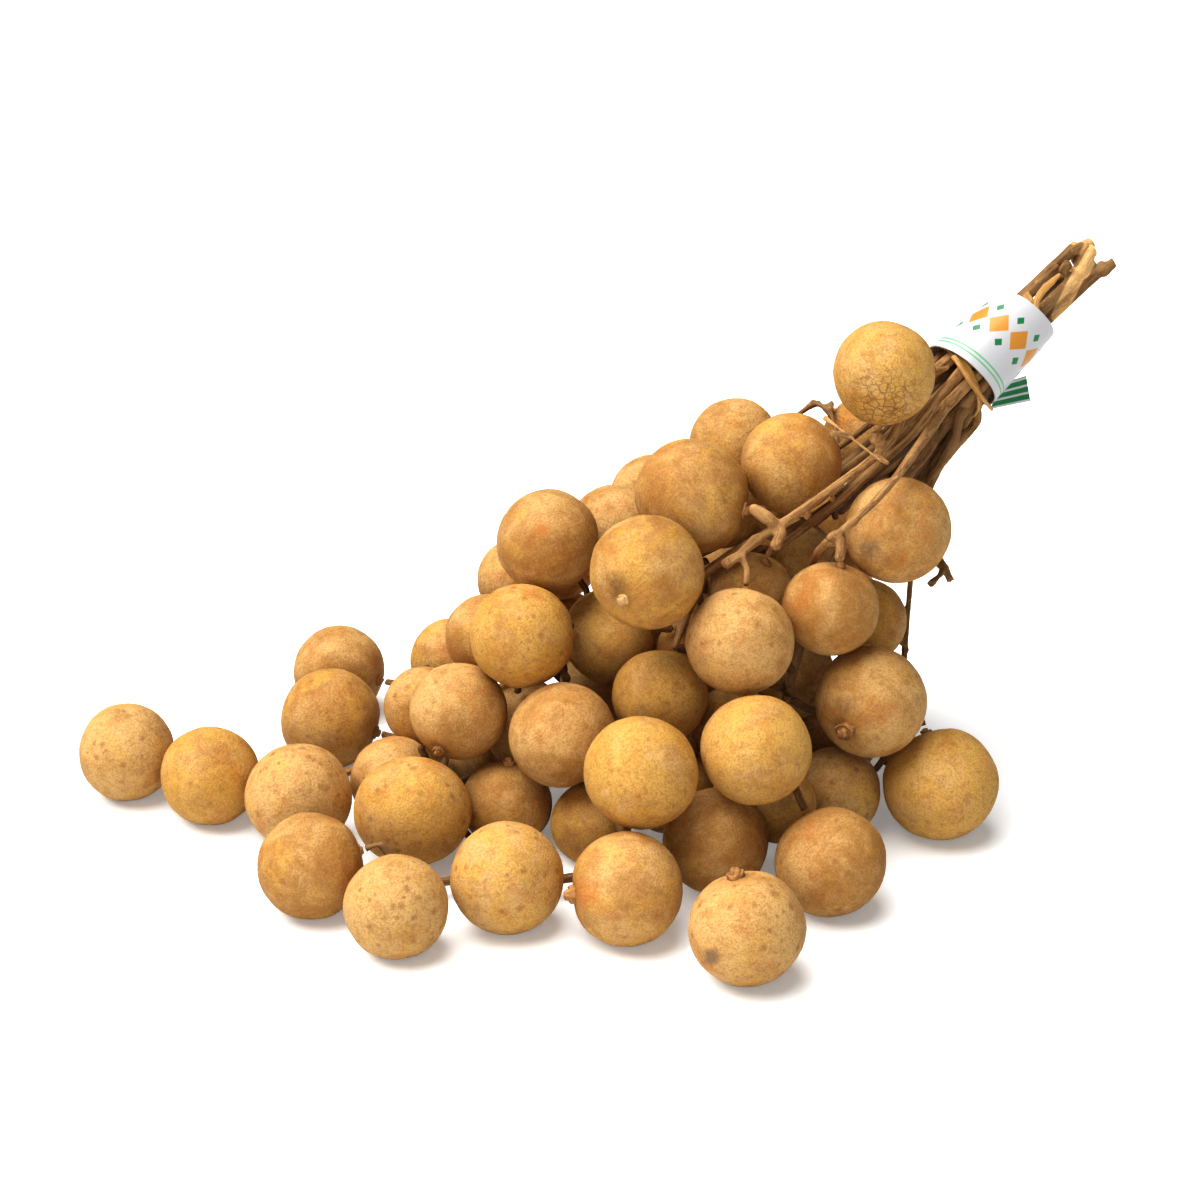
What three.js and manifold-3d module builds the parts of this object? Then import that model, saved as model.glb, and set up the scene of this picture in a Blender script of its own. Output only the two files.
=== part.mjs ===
import * as THREE from "three";
import { mergeVertices } from "three/addons/utils/BufferGeometryUtils.js";
import Module from "manifold-3d";

// A bunch of longans: six cut sprays, tied at their woody ends with a strip and a paper band,
// lie in a heap on a table, and their stems rise over the heap to the right and to the back.
// Millimetres, +Z up, the table at Z = 0, the origin under the middle of the bunch.

const wasm = await Module();
wasm.setup();

// The reference view of the bunch: from in front and above, in a picture 1200 across.
const VIEW = { rise: THREE.MathUtils.degToRad(25), distance: 1000, focal: 3200, middle: 600 };
const FORWARD = new THREE.Vector3(0, Math.cos(VIEW.rise), -Math.sin(VIEW.rise));
const UPWARD = new THREE.Vector3(0, Math.sin(VIEW.rise), Math.cos(VIEW.rise));
const RIGHT = new THREE.Vector3(1, 0, 0);
const EYE = FORWARD.clone().multiplyScalar(-VIEW.distance);

// How the fruit is shaped, and how it lies
const FRUIT = {
  sides: 11,
  rows: 6,
  height: 0.965, // along the stalk, against the width
  dimple: 0.045, // how far the skin sinks round the stalk, against the radius
  dimpleWidth: 0.42, // in radians round the stalk
  footDepth: 0.7, // a fruit on the table is flat this far up
  gap: 0.5, // left between two fruits that touch
  nubRadius: 1.7, // the dry ring that the stalk grows from
  nubHeight: 1.0,
  brokenHeight: 2.2, // the ring with the stub of a stalk that broke off
};

// The tied stems: a straight line through a point low on it, and what lies along that line
const BUNDLE = {
  foot: new THREE.Vector3(85.5, -104, 103),
  along: new THREE.Vector3(0.711, 0.483, 0.503).normalize(),
  ring: 4.9, // the outer stems' middles stand this far from the line under the band's top edge
  spread: 0.085, // and this much further for each millimetre down the line
  stemRadius: 2.25,
};
const BAND = {
  from: 16,
  length: 25.5,
  outer: 9.25, // at its top edge; it widens downwards as the stems spread
  wall: 0.5,
  waves: 5,
  wave: 0.15,
  sides: 30,
};
const FLAP = { length: 13, reach: 9, wall: 0.6, root: 1.5 };
const TIE = {
  lift: 0.7, // its middle stands off the stems by this
  thick: 0.6,
  wide: 2.2,
  from: 12,
  to: 44,
  turns: 2.4,
  startAngle: 110, // round the bundle, from the side that faces the viewer
  rows: 42,
};

const SHORT_EDGE = 0.003; // edges shorter than this, left by joining, are closed up

// How twigs grow and bend
const TWIG = {
  sides: 6,
  step: 7.4, // between two rings of a stem
  clear: 1.0, // kept from every fruit that it passes
  apart: 0.9, // kept from the stems of other sprays
  mainTip: 1.25, // radius at the far end of a main stem
  stalk: 1.08, // radius of a fruit's own stalk
  stalkReach: 5, // a stalk leaves its fruit straight for this length
  stalkGap: 0.45, // left between the stalk and the ring on the fruit
  knot: 1.45, // a fork or a cut end is this much thicker than its twig
  twist: 0.7, // in radians, between the faces of one twig and the next
  rounds: 120, // of bending clear, the last ones without the pulls
  lastRounds: 40,
  smooth: 0.12, // the pull of a point's neighbours
  home: 0.1, // the pull of its first place
};

// Where a point of the view lies in the bunch, given its height above the table.
function seenAt(across, down, height) {
  const ray = FORWARD.clone()
    .addScaledVector(RIGHT, (across - VIEW.middle) / VIEW.focal)
    .addScaledVector(UPWARD, (VIEW.middle - down) / VIEW.focal);
  return EYE.clone().addScaledVector(ray, (height - EYE.z) / ray.z);
}

// A direction given as right, up and towards the viewer.
function facing(right, up, towards) {
  return new THREE.Vector3()
    .addScaledVector(RIGHT, right)
    .addScaledVector(UPWARD, up)
    .addScaledVector(FORWARD, -towards)
    .normalize();
}

// A point beside the bundle's line: towards the viewer and to the lower right, round the line.
const BUNDLE_FRONT = FORWARD.clone()
  .negate()
  .addScaledVector(BUNDLE.along, FORWARD.dot(BUNDLE.along))
  .normalize();
const BUNDLE_SIDE = BUNDLE.along.clone().cross(BUNDLE_FRONT).normalize();
function bundlePoint(mark, angle, radius) {
  const turn = THREE.MathUtils.degToRad(angle);
  return BUNDLE.foot
    .clone()
    .addScaledVector(BUNDLE.along, mark)
    .addScaledVector(BUNDLE_FRONT, Math.cos(turn) * radius)
    .addScaledVector(BUNDLE_SIDE, Math.sin(turn) * radius);
}

// How much further from the line everything in the bundle stands at a mark, as the stems spread.
function spreadAt(mark) {
  return BUNDLE.spread * Math.max(0, BAND.from + BAND.length - mark);
}

// The fruit that shows: where its middle is seen, its diameter, the height of its middle where it
// isn't on the table, the spray that bears it, and which way its stalk faces where that shows.
const SEEN = [
  { seen: [127, 752], diameter: 27, spray: "tip" },
  { seen: [211, 776], diameter: 27, spray: "tip" },
  { seen: [298, 796], diameter: 28.5, spray: "tip" },
  { seen: [339, 672], diameter: 27, spray: "tip" },
  { seen: [330, 719], diameter: 28.5, spray: "tip" },
  { seen: [311, 866], diameter: 27.5, spray: "front", stalk: [0.93, 0.3, 0.0] },
  { seen: [396, 907], diameter: 26.5, spray: "front" },
  { seen: [413, 809], diameter: 29.5, height: 15.5, spray: "front", squash: 0.93, stalk: [0.35, 0.25, -0.9] },
  { seen: [396, 782], diameter: 24, spray: "tip" },
  { seen: [507, 878], diameter: 29, spray: "front" },
  { seen: [504, 804], diameter: 24.5, spray: "front", stalk: [0.05, 0.9, 0.3], broken: true },
  { seen: [459, 711], diameter: 26.5, height: 36, spray: "tip", stalk: [-0.38, -0.8, 0.46], broken: true },
  { seen: [424, 708], diameter: 22.5, height: 24, spray: "tip" },
  { seen: [453, 660], diameter: 24, height: 23, spray: "tip" },
  { seen: [488, 636], diameter: 23.5, height: 44, spray: "tip" },
  { seen: [523, 636], diameter: 27.5, height: 57, spray: "tip" },
  { seen: [517, 578], diameter: 22.5, height: 50, spray: "tip" },
  { seen: [553, 544], diameter: 28, height: 74, spray: "ridge" },
  { seen: [608, 535], diameter: 27, height: 69, spray: "ridge" },
  { seen: [654, 498], diameter: 25.5, height: 66, spray: "ridge" },
  { seen: [694, 497], diameter: 30, height: 90, spray: "upper", stalk: [0.93, -0.25, 0.25] },
  { seen: [648, 571], diameter: 30, height: 80, spray: "upper", stalk: [-0.45, -0.5, 0.74], broken: true },
  { seen: [736, 446], diameter: 26.5, height: 87, spray: "ridge" },
  { seen: [789, 464], diameter: 27, height: 95, spray: "ridge" },
  { seen: [884, 373], diameter: 27.5, height: 120, spray: "upper", stalk: [0.94, 0.1, -0.34] },
  { seen: [898, 530], diameter: 28.5, height: 82, spray: "side" },
  { seen: [752, 594], diameter: 22.5, height: 62, spray: "upper", stalk: [0.3, 0.8, 0.5] },
  { seen: [741, 641], diameter: 28.5, height: 62, spray: "upper" },
  { seen: [830, 610], diameter: 25.5, height: 65, spray: "outer", stalk: [0.2, 0.93, 0.3] },
  { seen: [845, 622], diameter: 23.5, height: 48, spray: "side" },
  { seen: [609, 636], diameter: 26, height: 46, spray: "upper" },
  { seen: [660, 696], diameter: 25.5, height: 41, spray: "upper" },
  { seen: [561, 732], diameter: 28.5, height: 36, spray: "front" },
  { seen: [641, 773], diameter: 29.5, height: 38, spray: "front" },
  { seen: [756, 750], diameter: 28.5, height: 41, spray: "front" },
  { seen: [870, 701], diameter: 30, height: 40, spray: "side", stalk: [-0.53, -0.51, 0.68], broken: true },
  { seen: [938, 784], diameter: 31, spray: "side", stalk: [-0.25, 0.93, -0.2] },
  { seen: [838, 792], diameter: 24.5, spray: "side" },
  { seen: [830, 862], diameter: 29, spray: "front" },
  { seen: [716, 841], diameter: 28, spray: "front" },
  { seen: [626, 889], diameter: 29.5, spray: "front", stalk: [-0.97, -0.08, 0.2], broken: true },
  { seen: [747, 928], diameter: 29.5, spray: "front", stalk: [-0.2, 0.93, 0.2], broken: true },
  { seen: [592, 822], diameter: 22.5, spray: "front" },
  { seen: [866, 440], diameter: 25.5, height: 88, spray: "ridge" },
  { seen: [800, 668], diameter: 26, height: 36, spray: "outer" },
  { seen: [812, 566], diameter: 24.5, height: 60, spray: "outer" },
];

// The fruit inside the heap and behind it: its middle, or the place of a fruit on the table.
const HIDDEN = [
  { at: [-22, -108], diameter: 26, spray: "tip" },
  { at: [66, -90, 62], diameter: 26, spray: "outer" },
  { at: [64, -116], diameter: 26.5, spray: "outer" },
  { at: [7, -84], diameter: 27, spray: "outer" },
  { at: [38, -82], diameter: 27, spray: "outer" },
  { at: [20, -97, 37], diameter: 26, spray: "outer" },
];

// The fruits as balls with their places, moved apart where they would cut into each other.
function layFruit() {
  const lie = (row) => {
    const radius = row.diameter / 2;
    const resting = radius - FRUIT.footDepth;
    const onTable = row.seen ? row.height === undefined : row.at.length === 2;
    const height = onTable ? resting : row.seen ? row.height : row.at[2];
    const middle = row.seen
      ? seenAt(...row.seen, height)
      : new THREE.Vector3(row.at[0], row.at[1], height);
    return { ...row, radius, onTable, middle };
  };
  const fruits = [...SEEN, ...HIDDEN].map(lie);
  const push = new THREE.Vector3();
  for (let round = 0; round < 300; round += 1) {
    fruits.forEach((a, i) =>
      fruits.slice(i + 1).forEach((b) => {
        const cut = a.radius + b.radius + FRUIT.gap - a.middle.distanceTo(b.middle);
        if (cut <= 0) return;
        push.subVectors(b.middle, a.middle);
        if (a.onTable && b.onTable) push.z = 0;
        push.setLength(cut / 2);
        a.middle.sub(push);
        b.middle.add(push);
        if (a.onTable) a.middle.z = a.radius - FRUIT.footDepth;
        if (b.onTable) b.middle.z = b.radius - FRUIT.footDepth;
      }),
    );
  }
  fruits.forEach((fruit, i) => {
    fruit.name = `longan_${String(i + 1).padStart(2, "0")}`;
  });
  return fruits;
}

// The six main stems. Each gives its place round the bundle, the marks on the bundle's line between
// which it runs straight, and the points that it runs through next, as seen where they show.
const MAINS = {
  upper: {
    angle: -50,
    top: 58,
    leaves: 0,
    bottom: 1.5,
    route: () => [
      seenAt(891, 444, 101),
      seenAt(833, 487, 95),
      seenAt(785, 523, 87),
      seenAt(765, 535, 84),
      seenAt(728, 556, 75),
      seenAt(700, 590, 62),
      seenAt(672, 640, 50),
    ],
  },
  outer: {
    angle: 22,
    top: 66,
    leaves: 5,
    bottom: 1.3,
    route: () => [
      seenAt(912, 456, 104),
      seenAt(880, 498, 100),
      seenAt(852, 524, 92),
      seenAt(822, 545, 82),
      new THREE.Vector3(56, -128, 62),
      new THREE.Vector3(50, -124, 45),
      new THREE.Vector3(40, -112, 30),
    ],
  },
  side: {
    angle: 94,
    top: 70,
    leaves: 9,
    bottom: 1.3,
    route: () => [
      seenAt(962, 436, 98),
      seenAt(936, 468, 88),
      new THREE.Vector3(86, -112, 76),
      new THREE.Vector3(85, -111, 62),
      new THREE.Vector3(84.5, -112, 50),
      new THREE.Vector3(84, -112, 36),
      new THREE.Vector3(83, -118, 22),
      new THREE.Vector3(78, -131, 8),
    ],
  },
  front: {
    angle: 166,
    top: 68,
    leaves: 8,
    bottom: 1.3,
    route: () => [
      seenAt(938, 440, 97),
      seenAt(893, 492, 88),
      seenAt(858, 534, 78),
      new THREE.Vector3(58, -127, 64),
      new THREE.Vector3(54, -133, 52),
      new THREE.Vector3(49, -146, 36),
      new THREE.Vector3(44, -153, 22),
      new THREE.Vector3(28, -160, 6),
      new THREE.Vector3(14, -171, 5),
      new THREE.Vector3(-8, -183, 5),
      new THREE.Vector3(-37, -182, 5),
      new THREE.Vector3(-53, -189, 5),
    ],
  },
  ridge: {
    angle: -122,
    top: 69,
    leaves: 6,
    bottom: 1.25,
    route: () => [
      new THREE.Vector3(74, -103, 101),
      new THREE.Vector3(60, -99, 88),
      new THREE.Vector3(42, -104, 72),
      new THREE.Vector3(28, -104, 62),
      new THREE.Vector3(18, -94, 54),
    ],
  },
  tip: {
    angle: 0,
    top: 62,
    leaves: -4,
    bottom: 1.25,
    inner: true,
    route: () => [
      seenAt(860, 482, 88),
      seenAt(815, 520, 79),
      new THREE.Vector3(42, -117, 70),
      new THREE.Vector3(26, -118, 62),
      new THREE.Vector3(8, -110, 50),
      new THREE.Vector3(-12, -104, 42),
      new THREE.Vector3(-26, -110, 28),
      new THREE.Vector3(-46, -103, 20),
      new THREE.Vector3(-62, -124, 8),
      new THREE.Vector3(-82, -130, 5),
      new THREE.Vector3(-100, -124, 5),
      new THREE.Vector3(-113, -116, 5),
    ],
  },
};

// Bare twigs that show: each leaves a main stem near a seen point and runs to its cut end.
const BARE_TWIGS = [
  { spray: "upper", radius: 0.95, route: () => [
    seenAt(878, 455, 101), seenAt(893, 468, 105), seenAt(880, 462, 109), seenAt(851, 437, 112), seenAt(818, 413, 113),
  ] },
  { spray: "upper", radius: 1.2, route: () => [seenAt(852, 438, 112), seenAt(838, 432, 114), seenAt(824, 434, 114)] },
  { spray: "upper", radius: 1.4, route: () => [seenAt(765, 535, 84), seenAt(740, 556, 80), seenAt(716, 571, 78)] },
  { spray: "outer", radius: 1.3, route: () => [seenAt(852, 530, 92), seenAt(838, 535, 90), seenAt(826, 541, 89)] },
  { spray: "side", radius: 1.3, route: () => [
    seenAt(912, 540, 72), seenAt(938, 552, 73), seenAt(949, 570, 70), seenAt(954, 590, 66),
  ] },
  { spray: "side", radius: 1.2, route: () => [seenAt(948, 572, 70), seenAt(938, 580, 70), seenAt(925, 589, 69)] },
  { spray: "ridge", radius: 1.1, route: () => [seenAt(852, 420, 92), seenAt(843, 412, 96), seenAt(836, 402, 98)] },
];

// The nearest point of a spray's stems, its ends left out, as the stem and the point's place in it.
function nearestOn(limbs, point) {
  let best = null;
  for (const limb of limbs) {
    for (let i = 1; i < limb.points.length - 1; i += 1) {
      const away = limb.points[i].distanceTo(point);
      if (!best || away < best.away) best = { limb, i, away };
    }
  }
  return best;
}

// A route through given points, cut into even steps.
function evenRoute(points, step) {
  const curve = new THREE.CatmullRomCurve3(points, false, "centripetal");
  const count = Math.max(2, Math.round(curve.getLength() / step));
  return curve.getSpacedPoints(count);
}

// Bends a route clear of the fruit, of other sprays' stems and of the table. Its ends stay.
function bendClear(points, radius, fruits, others, fixedTail) {
  const last = points.length - 1 - fixedTail;
  const homes = points.map((p) => p.clone());
  const push = new THREE.Vector3();
  const nearest = new THREE.Vector3();
  const segment = new THREE.Line3();
  const keepOff = (p, from, reach) => {
    push.subVectors(p, from);
    const length = push.length();
    if (length < reach && length > 1e-6) p.addScaledVector(push, reach / length - 1);
  };
  for (let round = 0; round < TWIG.rounds; round += 1) {
    const pulled = round < TWIG.rounds - TWIG.lastRounds;
    for (let i = 1; i <= last; i += 1) {
      const p = points[i];
      if (pulled) {
        const next = points[Math.min(i + 1, points.length - 1)];
        const mean = points[i - 1].clone().add(next).multiplyScalar(0.5);
        p.lerp(mean, TWIG.smooth).lerp(homes[i], TWIG.home);
      }
      for (const other of others) {
        const reach = other.radius + radius + TWIG.apart;
        for (let k = 1; k < other.points.length; k += 1) {
          if (p.distanceTo(other.points[k]) > reach + TWIG.step * 1.5) continue;
          segment.set(other.points[k - 1], other.points[k]).closestPointToPoint(p, true, nearest);
          keepOff(p, nearest, reach);
        }
      }
      for (const fruit of fruits) keepOff(p, fruit.middle, fruit.radius + radius + TWIG.clear);
      p.z = Math.max(p.z, radius + 0.5);
    }
  }
  return points;
}

// The freest way for a stalk to leave its fruit towards its spray.
function stalkWay(fruit, fruits, limbs) {
  if (fruit.stalk) return facing(...fruit.stalk);
  const reach = fruit.radius + TWIG.stalkReach;
  const tries = 260;
  let best = null;
  for (let i = 0; i < tries; i += 1) {
    const z = 1 - (2 * i + 1) / tries;
    const turn = i * Math.PI * (3 - Math.sqrt(5));
    const way = new THREE.Vector3(
      Math.sqrt(1 - z * z) * Math.cos(turn),
      Math.sqrt(1 - z * z) * Math.sin(turn),
      z,
    );
    const end = fruit.middle.clone().addScaledVector(way, reach);
    const room = Math.min(
      ...fruits.filter((f) => f !== fruit).map((f) => f.middle.distanceTo(end) - f.radius),
      end.z,
    );
    const short = Math.max(0, TWIG.stalk + TWIG.clear + 0.6 - room);
    const shows = Math.max(0, -way.dot(FORWARD) - 0.1);
    const cost = nearestOn(limbs, end).away + 25 * short + 14 * shows;
    if (!best || cost < best.cost) best = { way, cost };
  }
  return best.way;
}

// All stems of all sprays: lists of points with the radius at each end.
function growSprays(fruits) {
  const sprays = {};
  const othersOf = (name) =>
    Object.keys(sprays)
      .filter((key) => key !== name)
      .flatMap((key) => sprays[key]);
  for (const [name, main] of Object.entries(MAINS)) {
    const rows = Math.round((main.top - main.leaves) / (TWIG.step * 1.3));
    const straight = Array.from({ length: rows + 1 }, (_, row) => {
      const mark = THREE.MathUtils.lerp(main.top, main.leaves, row / rows);
      return bundlePoint(mark, main.angle, main.inner ? 0 : BUNDLE.ring + spreadAt(mark));
    });
    const free = evenRoute([straight.at(-1), ...main.route()], TWIG.step);
    bendClear(free, main.bottom + 0.4, fruits, othersOf(name), 0);
    sprays[name] = [
      { points: [...straight, ...free.slice(1)], radius: BUNDLE.stemRadius, tip: main.bottom, main: true },
    ];
  }
  for (const twig of BARE_TWIGS) {
    const route = twig.route();
    const root = nearestOn(sprays[twig.spray], route[0]);
    const points = evenRoute([root.limb.points[root.i], ...route.slice(1)], TWIG.step);
    bendClear(points, twig.radius, fruits, othersOf(twig.spray), 0);
    sprays[twig.spray].push({ points, radius: twig.radius, tip: twig.radius * 0.9, bare: true });
  }
  const near = (fruit) => nearestOn(sprays[fruit.spray], fruit.middle).away;
  const waiting = fruits.slice().sort((a, b) => near(a) - near(b));
  for (const fruit of waiting) {
    const limbs = sprays[fruit.spray];
    fruit.way = stalkWay(fruit, fruits, limbs);
    if (fruit.broken) continue;
    const ringTop = fruit.radius * FRUIT.height + FRUIT.nubHeight + TWIG.stalkGap;
    const end = fruit.middle.clone().addScaledVector(fruit.way, ringTop);
    const lead = fruit.middle.clone().addScaledVector(fruit.way, fruit.radius + TWIG.stalkReach);
    const root = nearestOn(limbs, lead);
    const back = Math.min(root.i - 1, Math.round((0.35 * root.away) / TWIG.step));
    const start = root.limb.points[root.i - back];
    const bend = start.clone().lerp(lead, 0.5);
    const points = [...evenRoute([start, bend, lead], TWIG.step), end];
    bendClear(points, TWIG.stalk, fruits, othersOf(fruit.spray), 2);
    limbs.push({ points, radius: TWIG.stalk * 1.15, tip: TWIG.stalk, fruit: fruit.name });
  }
  return sprays;
}

// A closed solid from a geometry.
function solid(geometry) {
  const bare = geometry.index ? geometry.toNonIndexed() : geometry.clone();
  bare.deleteAttribute("normal");
  bare.deleteAttribute("uv");
  const merged = mergeVertices(bare, 1e-4);
  return new wasm.Manifold(
    new wasm.Mesh({
      numProp: 3,
      vertProperties: merged.attributes.position.array,
      triVerts: new Uint32Array(merged.index.array),
    }),
  );
}

// A geometry from a closed solid, with the ends of its very short edges made one.
function geometryOf(made) {
  const mesh = made.getMesh();
  const position = new THREE.BufferAttribute(new Float32Array(mesh.vertProperties), 3);
  const kept = Array.from({ length: position.count }, (_, i) => i);
  const keptOf = (i) => (kept[i] === i ? i : keptOf(kept[i]));
  const a = new THREE.Vector3();
  const b = new THREE.Vector3();
  mesh.triVerts.forEach((corner, i) => {
    const next = mesh.triVerts[i % 3 === 2 ? i - 2 : i + 1];
    a.fromBufferAttribute(position, corner);
    b.fromBufferAttribute(position, next);
    if (a.distanceTo(b) < SHORT_EDGE) kept[keptOf(corner)] = keptOf(next);
  });
  const faces = new Map();
  for (let i = 0; i < mesh.triVerts.length; i += 3) {
    const face = [0, 1, 2].map((k) => keptOf(mesh.triVerts[i + k]));
    const corners = face.toSorted((m, n) => m - n).join();
    if (new Set(face).size < 3) continue;
    // Two faces left back to back with the same corners close each other.
    if (!faces.delete(corners)) faces.set(corners, face);
  }
  const geometry = new THREE.BufferGeometry();
  geometry.setAttribute("position", position);
  geometry.setIndex([...faces.values()].flat());
  const bare = geometry.toNonIndexed();
  bare.computeVertexNormals();
  return bare;
}

// A closed tube whose points are put in place by a function of the share of its length and its section.
function bentTube(sides, rows, place) {
  const geometry = new THREE.CylinderGeometry(1, 1, 1, sides, rows);
  const position = geometry.attributes.position;
  for (let i = 0; i < position.count; i += 1) {
    const p = place(position.getY(i) + 0.5, position.getX(i), position.getZ(i));
    position.setXYZ(i, p.x, p.y, p.z);
  }
  return geometry;
}

// A twig along a route, thinner towards its end, and thicker where it forks off or is cut.
function twigSolid(limb, index) {
  const curve = new THREE.CatmullRomCurve3(limb.points, false, "centripetal");
  const rows = limb.points.length - 1;
  const frames = curve.computeFrenetFrames(rows, false);
  const sizeAt = (row) => {
    const share = limb.main ? THREE.MathUtils.smoothstep(row / rows, 0.22, 0.6) : row / rows;
    const knot = (!limb.main && row === 0) || (limb.bare && row === rows) ? TWIG.knot : 1;
    return THREE.MathUtils.lerp(limb.radius, limb.tip, share) * knot;
  };
  const sides = limb.main ? TWIG.sides : TWIG.sides - 1;
  const twist = new THREE.Vector2(Math.cos(index * TWIG.twist), Math.sin(index * TWIG.twist));
  const place = (share, x, z) => {
    const row = Math.round(share * rows);
    return limb.points[row]
      .clone()
      .addScaledVector(frames.normals[row], (x * twist.x + z * twist.y) * sizeAt(row))
      .addScaledVector(frames.binormals[row], (x * twist.y - z * twist.x) * sizeAt(row));
  };
  return solid(bentTube(sides, rows, place));
}

// A spray's stems in one piece, without the chips that joining can leave.
function spraySolid(limbs) {
  const joined = limbs.map(twigSolid).reduce((made, twig) => made.add(twig));
  return joined.decompose().reduce((a, b) => (a.volume() > b.volume() ? a : b));
}

// A fruit: a ball a little flatter along its stalk, sunk round the stalk, with the stalk's ring.
function fruitSolid(fruit) {
  const height = fruit.squash ?? FRUIT.height;
  const skin = (angle) => {
    const sink = FRUIT.dimple * Math.exp(-((angle / FRUIT.dimpleWidth) ** 2));
    const away = fruit.radius * (1 - sink);
    return new THREE.Vector2(Math.sin(angle) * away, Math.cos(angle) * away * height);
  };
  const ringFoot = Math.asin(FRUIT.nubRadius / fruit.radius);
  const turns = Array.from({ length: FRUIT.rows }, (_, row) =>
    skin(THREE.MathUtils.lerp(Math.PI, ringFoot, row / FRUIT.rows)),
  );
  turns[0].x = 0;
  const ringTop = fruit.radius * FRUIT.height + (fruit.broken ? FRUIT.brokenHeight : FRUIT.nubHeight);
  const ring = [
    skin(ringFoot),
    new THREE.Vector2(FRUIT.nubRadius * 0.8, ringTop),
    new THREE.Vector2(0, ringTop),
  ];
  const turn = new THREE.Quaternion().setFromUnitVectors(new THREE.Vector3(0, 1, 0), fruit.way);
  const place = new THREE.Matrix4().compose(fruit.middle, turn, new THREE.Vector3(1, 1, 1));
  const made = solid(new THREE.LatheGeometry([...turns, ...ring], FRUIT.sides).applyMatrix4(place));
  if (!fruit.onTable) return made;
  const under = new THREE.BoxGeometry(60, 60, 20).translate(fruit.middle.x, fruit.middle.y, -10);
  return made.subtract(solid(under));
}

// The paper band: a thin ring round the tied stems, with its loose end standing off as a flap.
function bandSolid() {
  const size = (mark, angle) =>
    BAND.outer + spreadAt(mark) + BAND.wave * Math.cos(BAND.waves * (angle - 0.4));
  const ring = (inset) =>
    bentTube(BAND.sides, 1, (share, x, z) => {
      const angle = Math.atan2(z, x);
      const mark = BAND.from + BAND.length * share + (share - 0.5) * (inset ? 2 : 0);
      return bundlePoint(mark, THREE.MathUtils.radToDeg(-angle), size(mark, angle) - inset);
    });
  const outward = BUNDLE_SIDE.clone().multiplyScalar(0.95).addScaledVector(BUNDLE_FRONT, -0.3).normalize();
  const across = BUNDLE.along.clone().cross(outward).normalize();
  const basis = new THREE.Matrix4().makeBasis(BUNDLE.along, outward, across);
  const rootMark = BAND.from + FLAP.length / 2 + 0.5;
  const root = bundlePoint(rootMark, 107, BAND.outer + spreadAt(rootMark) - FLAP.root);
  const flap = new THREE.BoxGeometry(FLAP.length, FLAP.reach, FLAP.wall)
    .translate(0, FLAP.reach / 2, 0)
    .applyMatrix4(basis)
    .translate(root.x, root.y, root.z);
  return solid(ring(0)).add(solid(flap)).subtract(solid(ring(BAND.wall)));
}

// The dry strip wound round the stems under the band, with both ends showing past it.
function tieSolid() {
  const place = (share, x, z) => {
    const mark = THREE.MathUtils.lerp(TIE.from, TIE.to, share) - ((x + z) * TIE.wide) / 2;
    const angle = TIE.startAngle - 360 * TIE.turns * share;
    const middle = BUNDLE.ring + BUNDLE.stemRadius + TIE.lift + spreadAt(mark);
    return bundlePoint(mark, angle, middle + ((x - z) * TIE.thick) / 2);
  };
  return solid(bentTube(4, TIE.rows, place));
}

const MATERIALS = {
  skin: new THREE.MeshStandardMaterial({ color: 0xc98f3f, roughness: 0.72, metalness: 0 }),
  bark: new THREE.MeshStandardMaterial({ color: 0x8a6238, roughness: 0.88, metalness: 0 }),
  paper: new THREE.MeshStandardMaterial({ color: 0xf1f0ee, roughness: 0.6, metalness: 0 }),
  straw: new THREE.MeshStandardMaterial({ color: 0xd2a253, roughness: 0.75, metalness: 0 }),
};

// One named piece of the bunch.
function piece(name, made, material) {
  const mesh = new THREE.Mesh(geometryOf(made), material);
  mesh.name = name;
  return mesh;
}

const fruits = layFruit();
const sprays = growSprays(fruits);
const bunch = new THREE.Group();
for (const fruit of fruits) bunch.add(piece(fruit.name, fruitSolid(fruit), MATERIALS.skin));
for (const [name, limbs] of Object.entries(sprays)) {
  bunch.add(piece(`spray_${name}_stem`, spraySolid(limbs), MATERIALS.bark));
}
bunch.add(piece("paper_band", bandSolid(), MATERIALS.paper));
bunch.add(piece("tie_strip", tieSolid(), MATERIALS.straw));

// The origin is on the table, under the middle of the bunch.
const box = new THREE.Box3().setFromObject(bunch);
const middle = box.getCenter(new THREE.Vector3());
bunch.children.forEach((mesh) => mesh.geometry.translate(-middle.x, -middle.y, -box.min.z));

export default bunch;
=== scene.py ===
"""A bunch of longans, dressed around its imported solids.

Each fruit is a shaped and wrinkled shell fitted to its solid, the stems are grown from the
solid sprays with bark, knots and stubs, and a printed paper band and a strip of straw hold
the bundle of stems together. Lengths are in metres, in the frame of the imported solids.
"""

import logging
import math
import random
from dataclasses import dataclass, field
from enum import Enum
from typing import Callable, Optional, Sequence

import bpy
import numpy as np
from bpy.types import Material, Mesh, Node, NodeTree
from bpy.types import NodeSocket as Socket
from bpy.types import Object as Piece
from mathutils import Matrix, Vector
from mathutils.bvhtree import BVHTree


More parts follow.
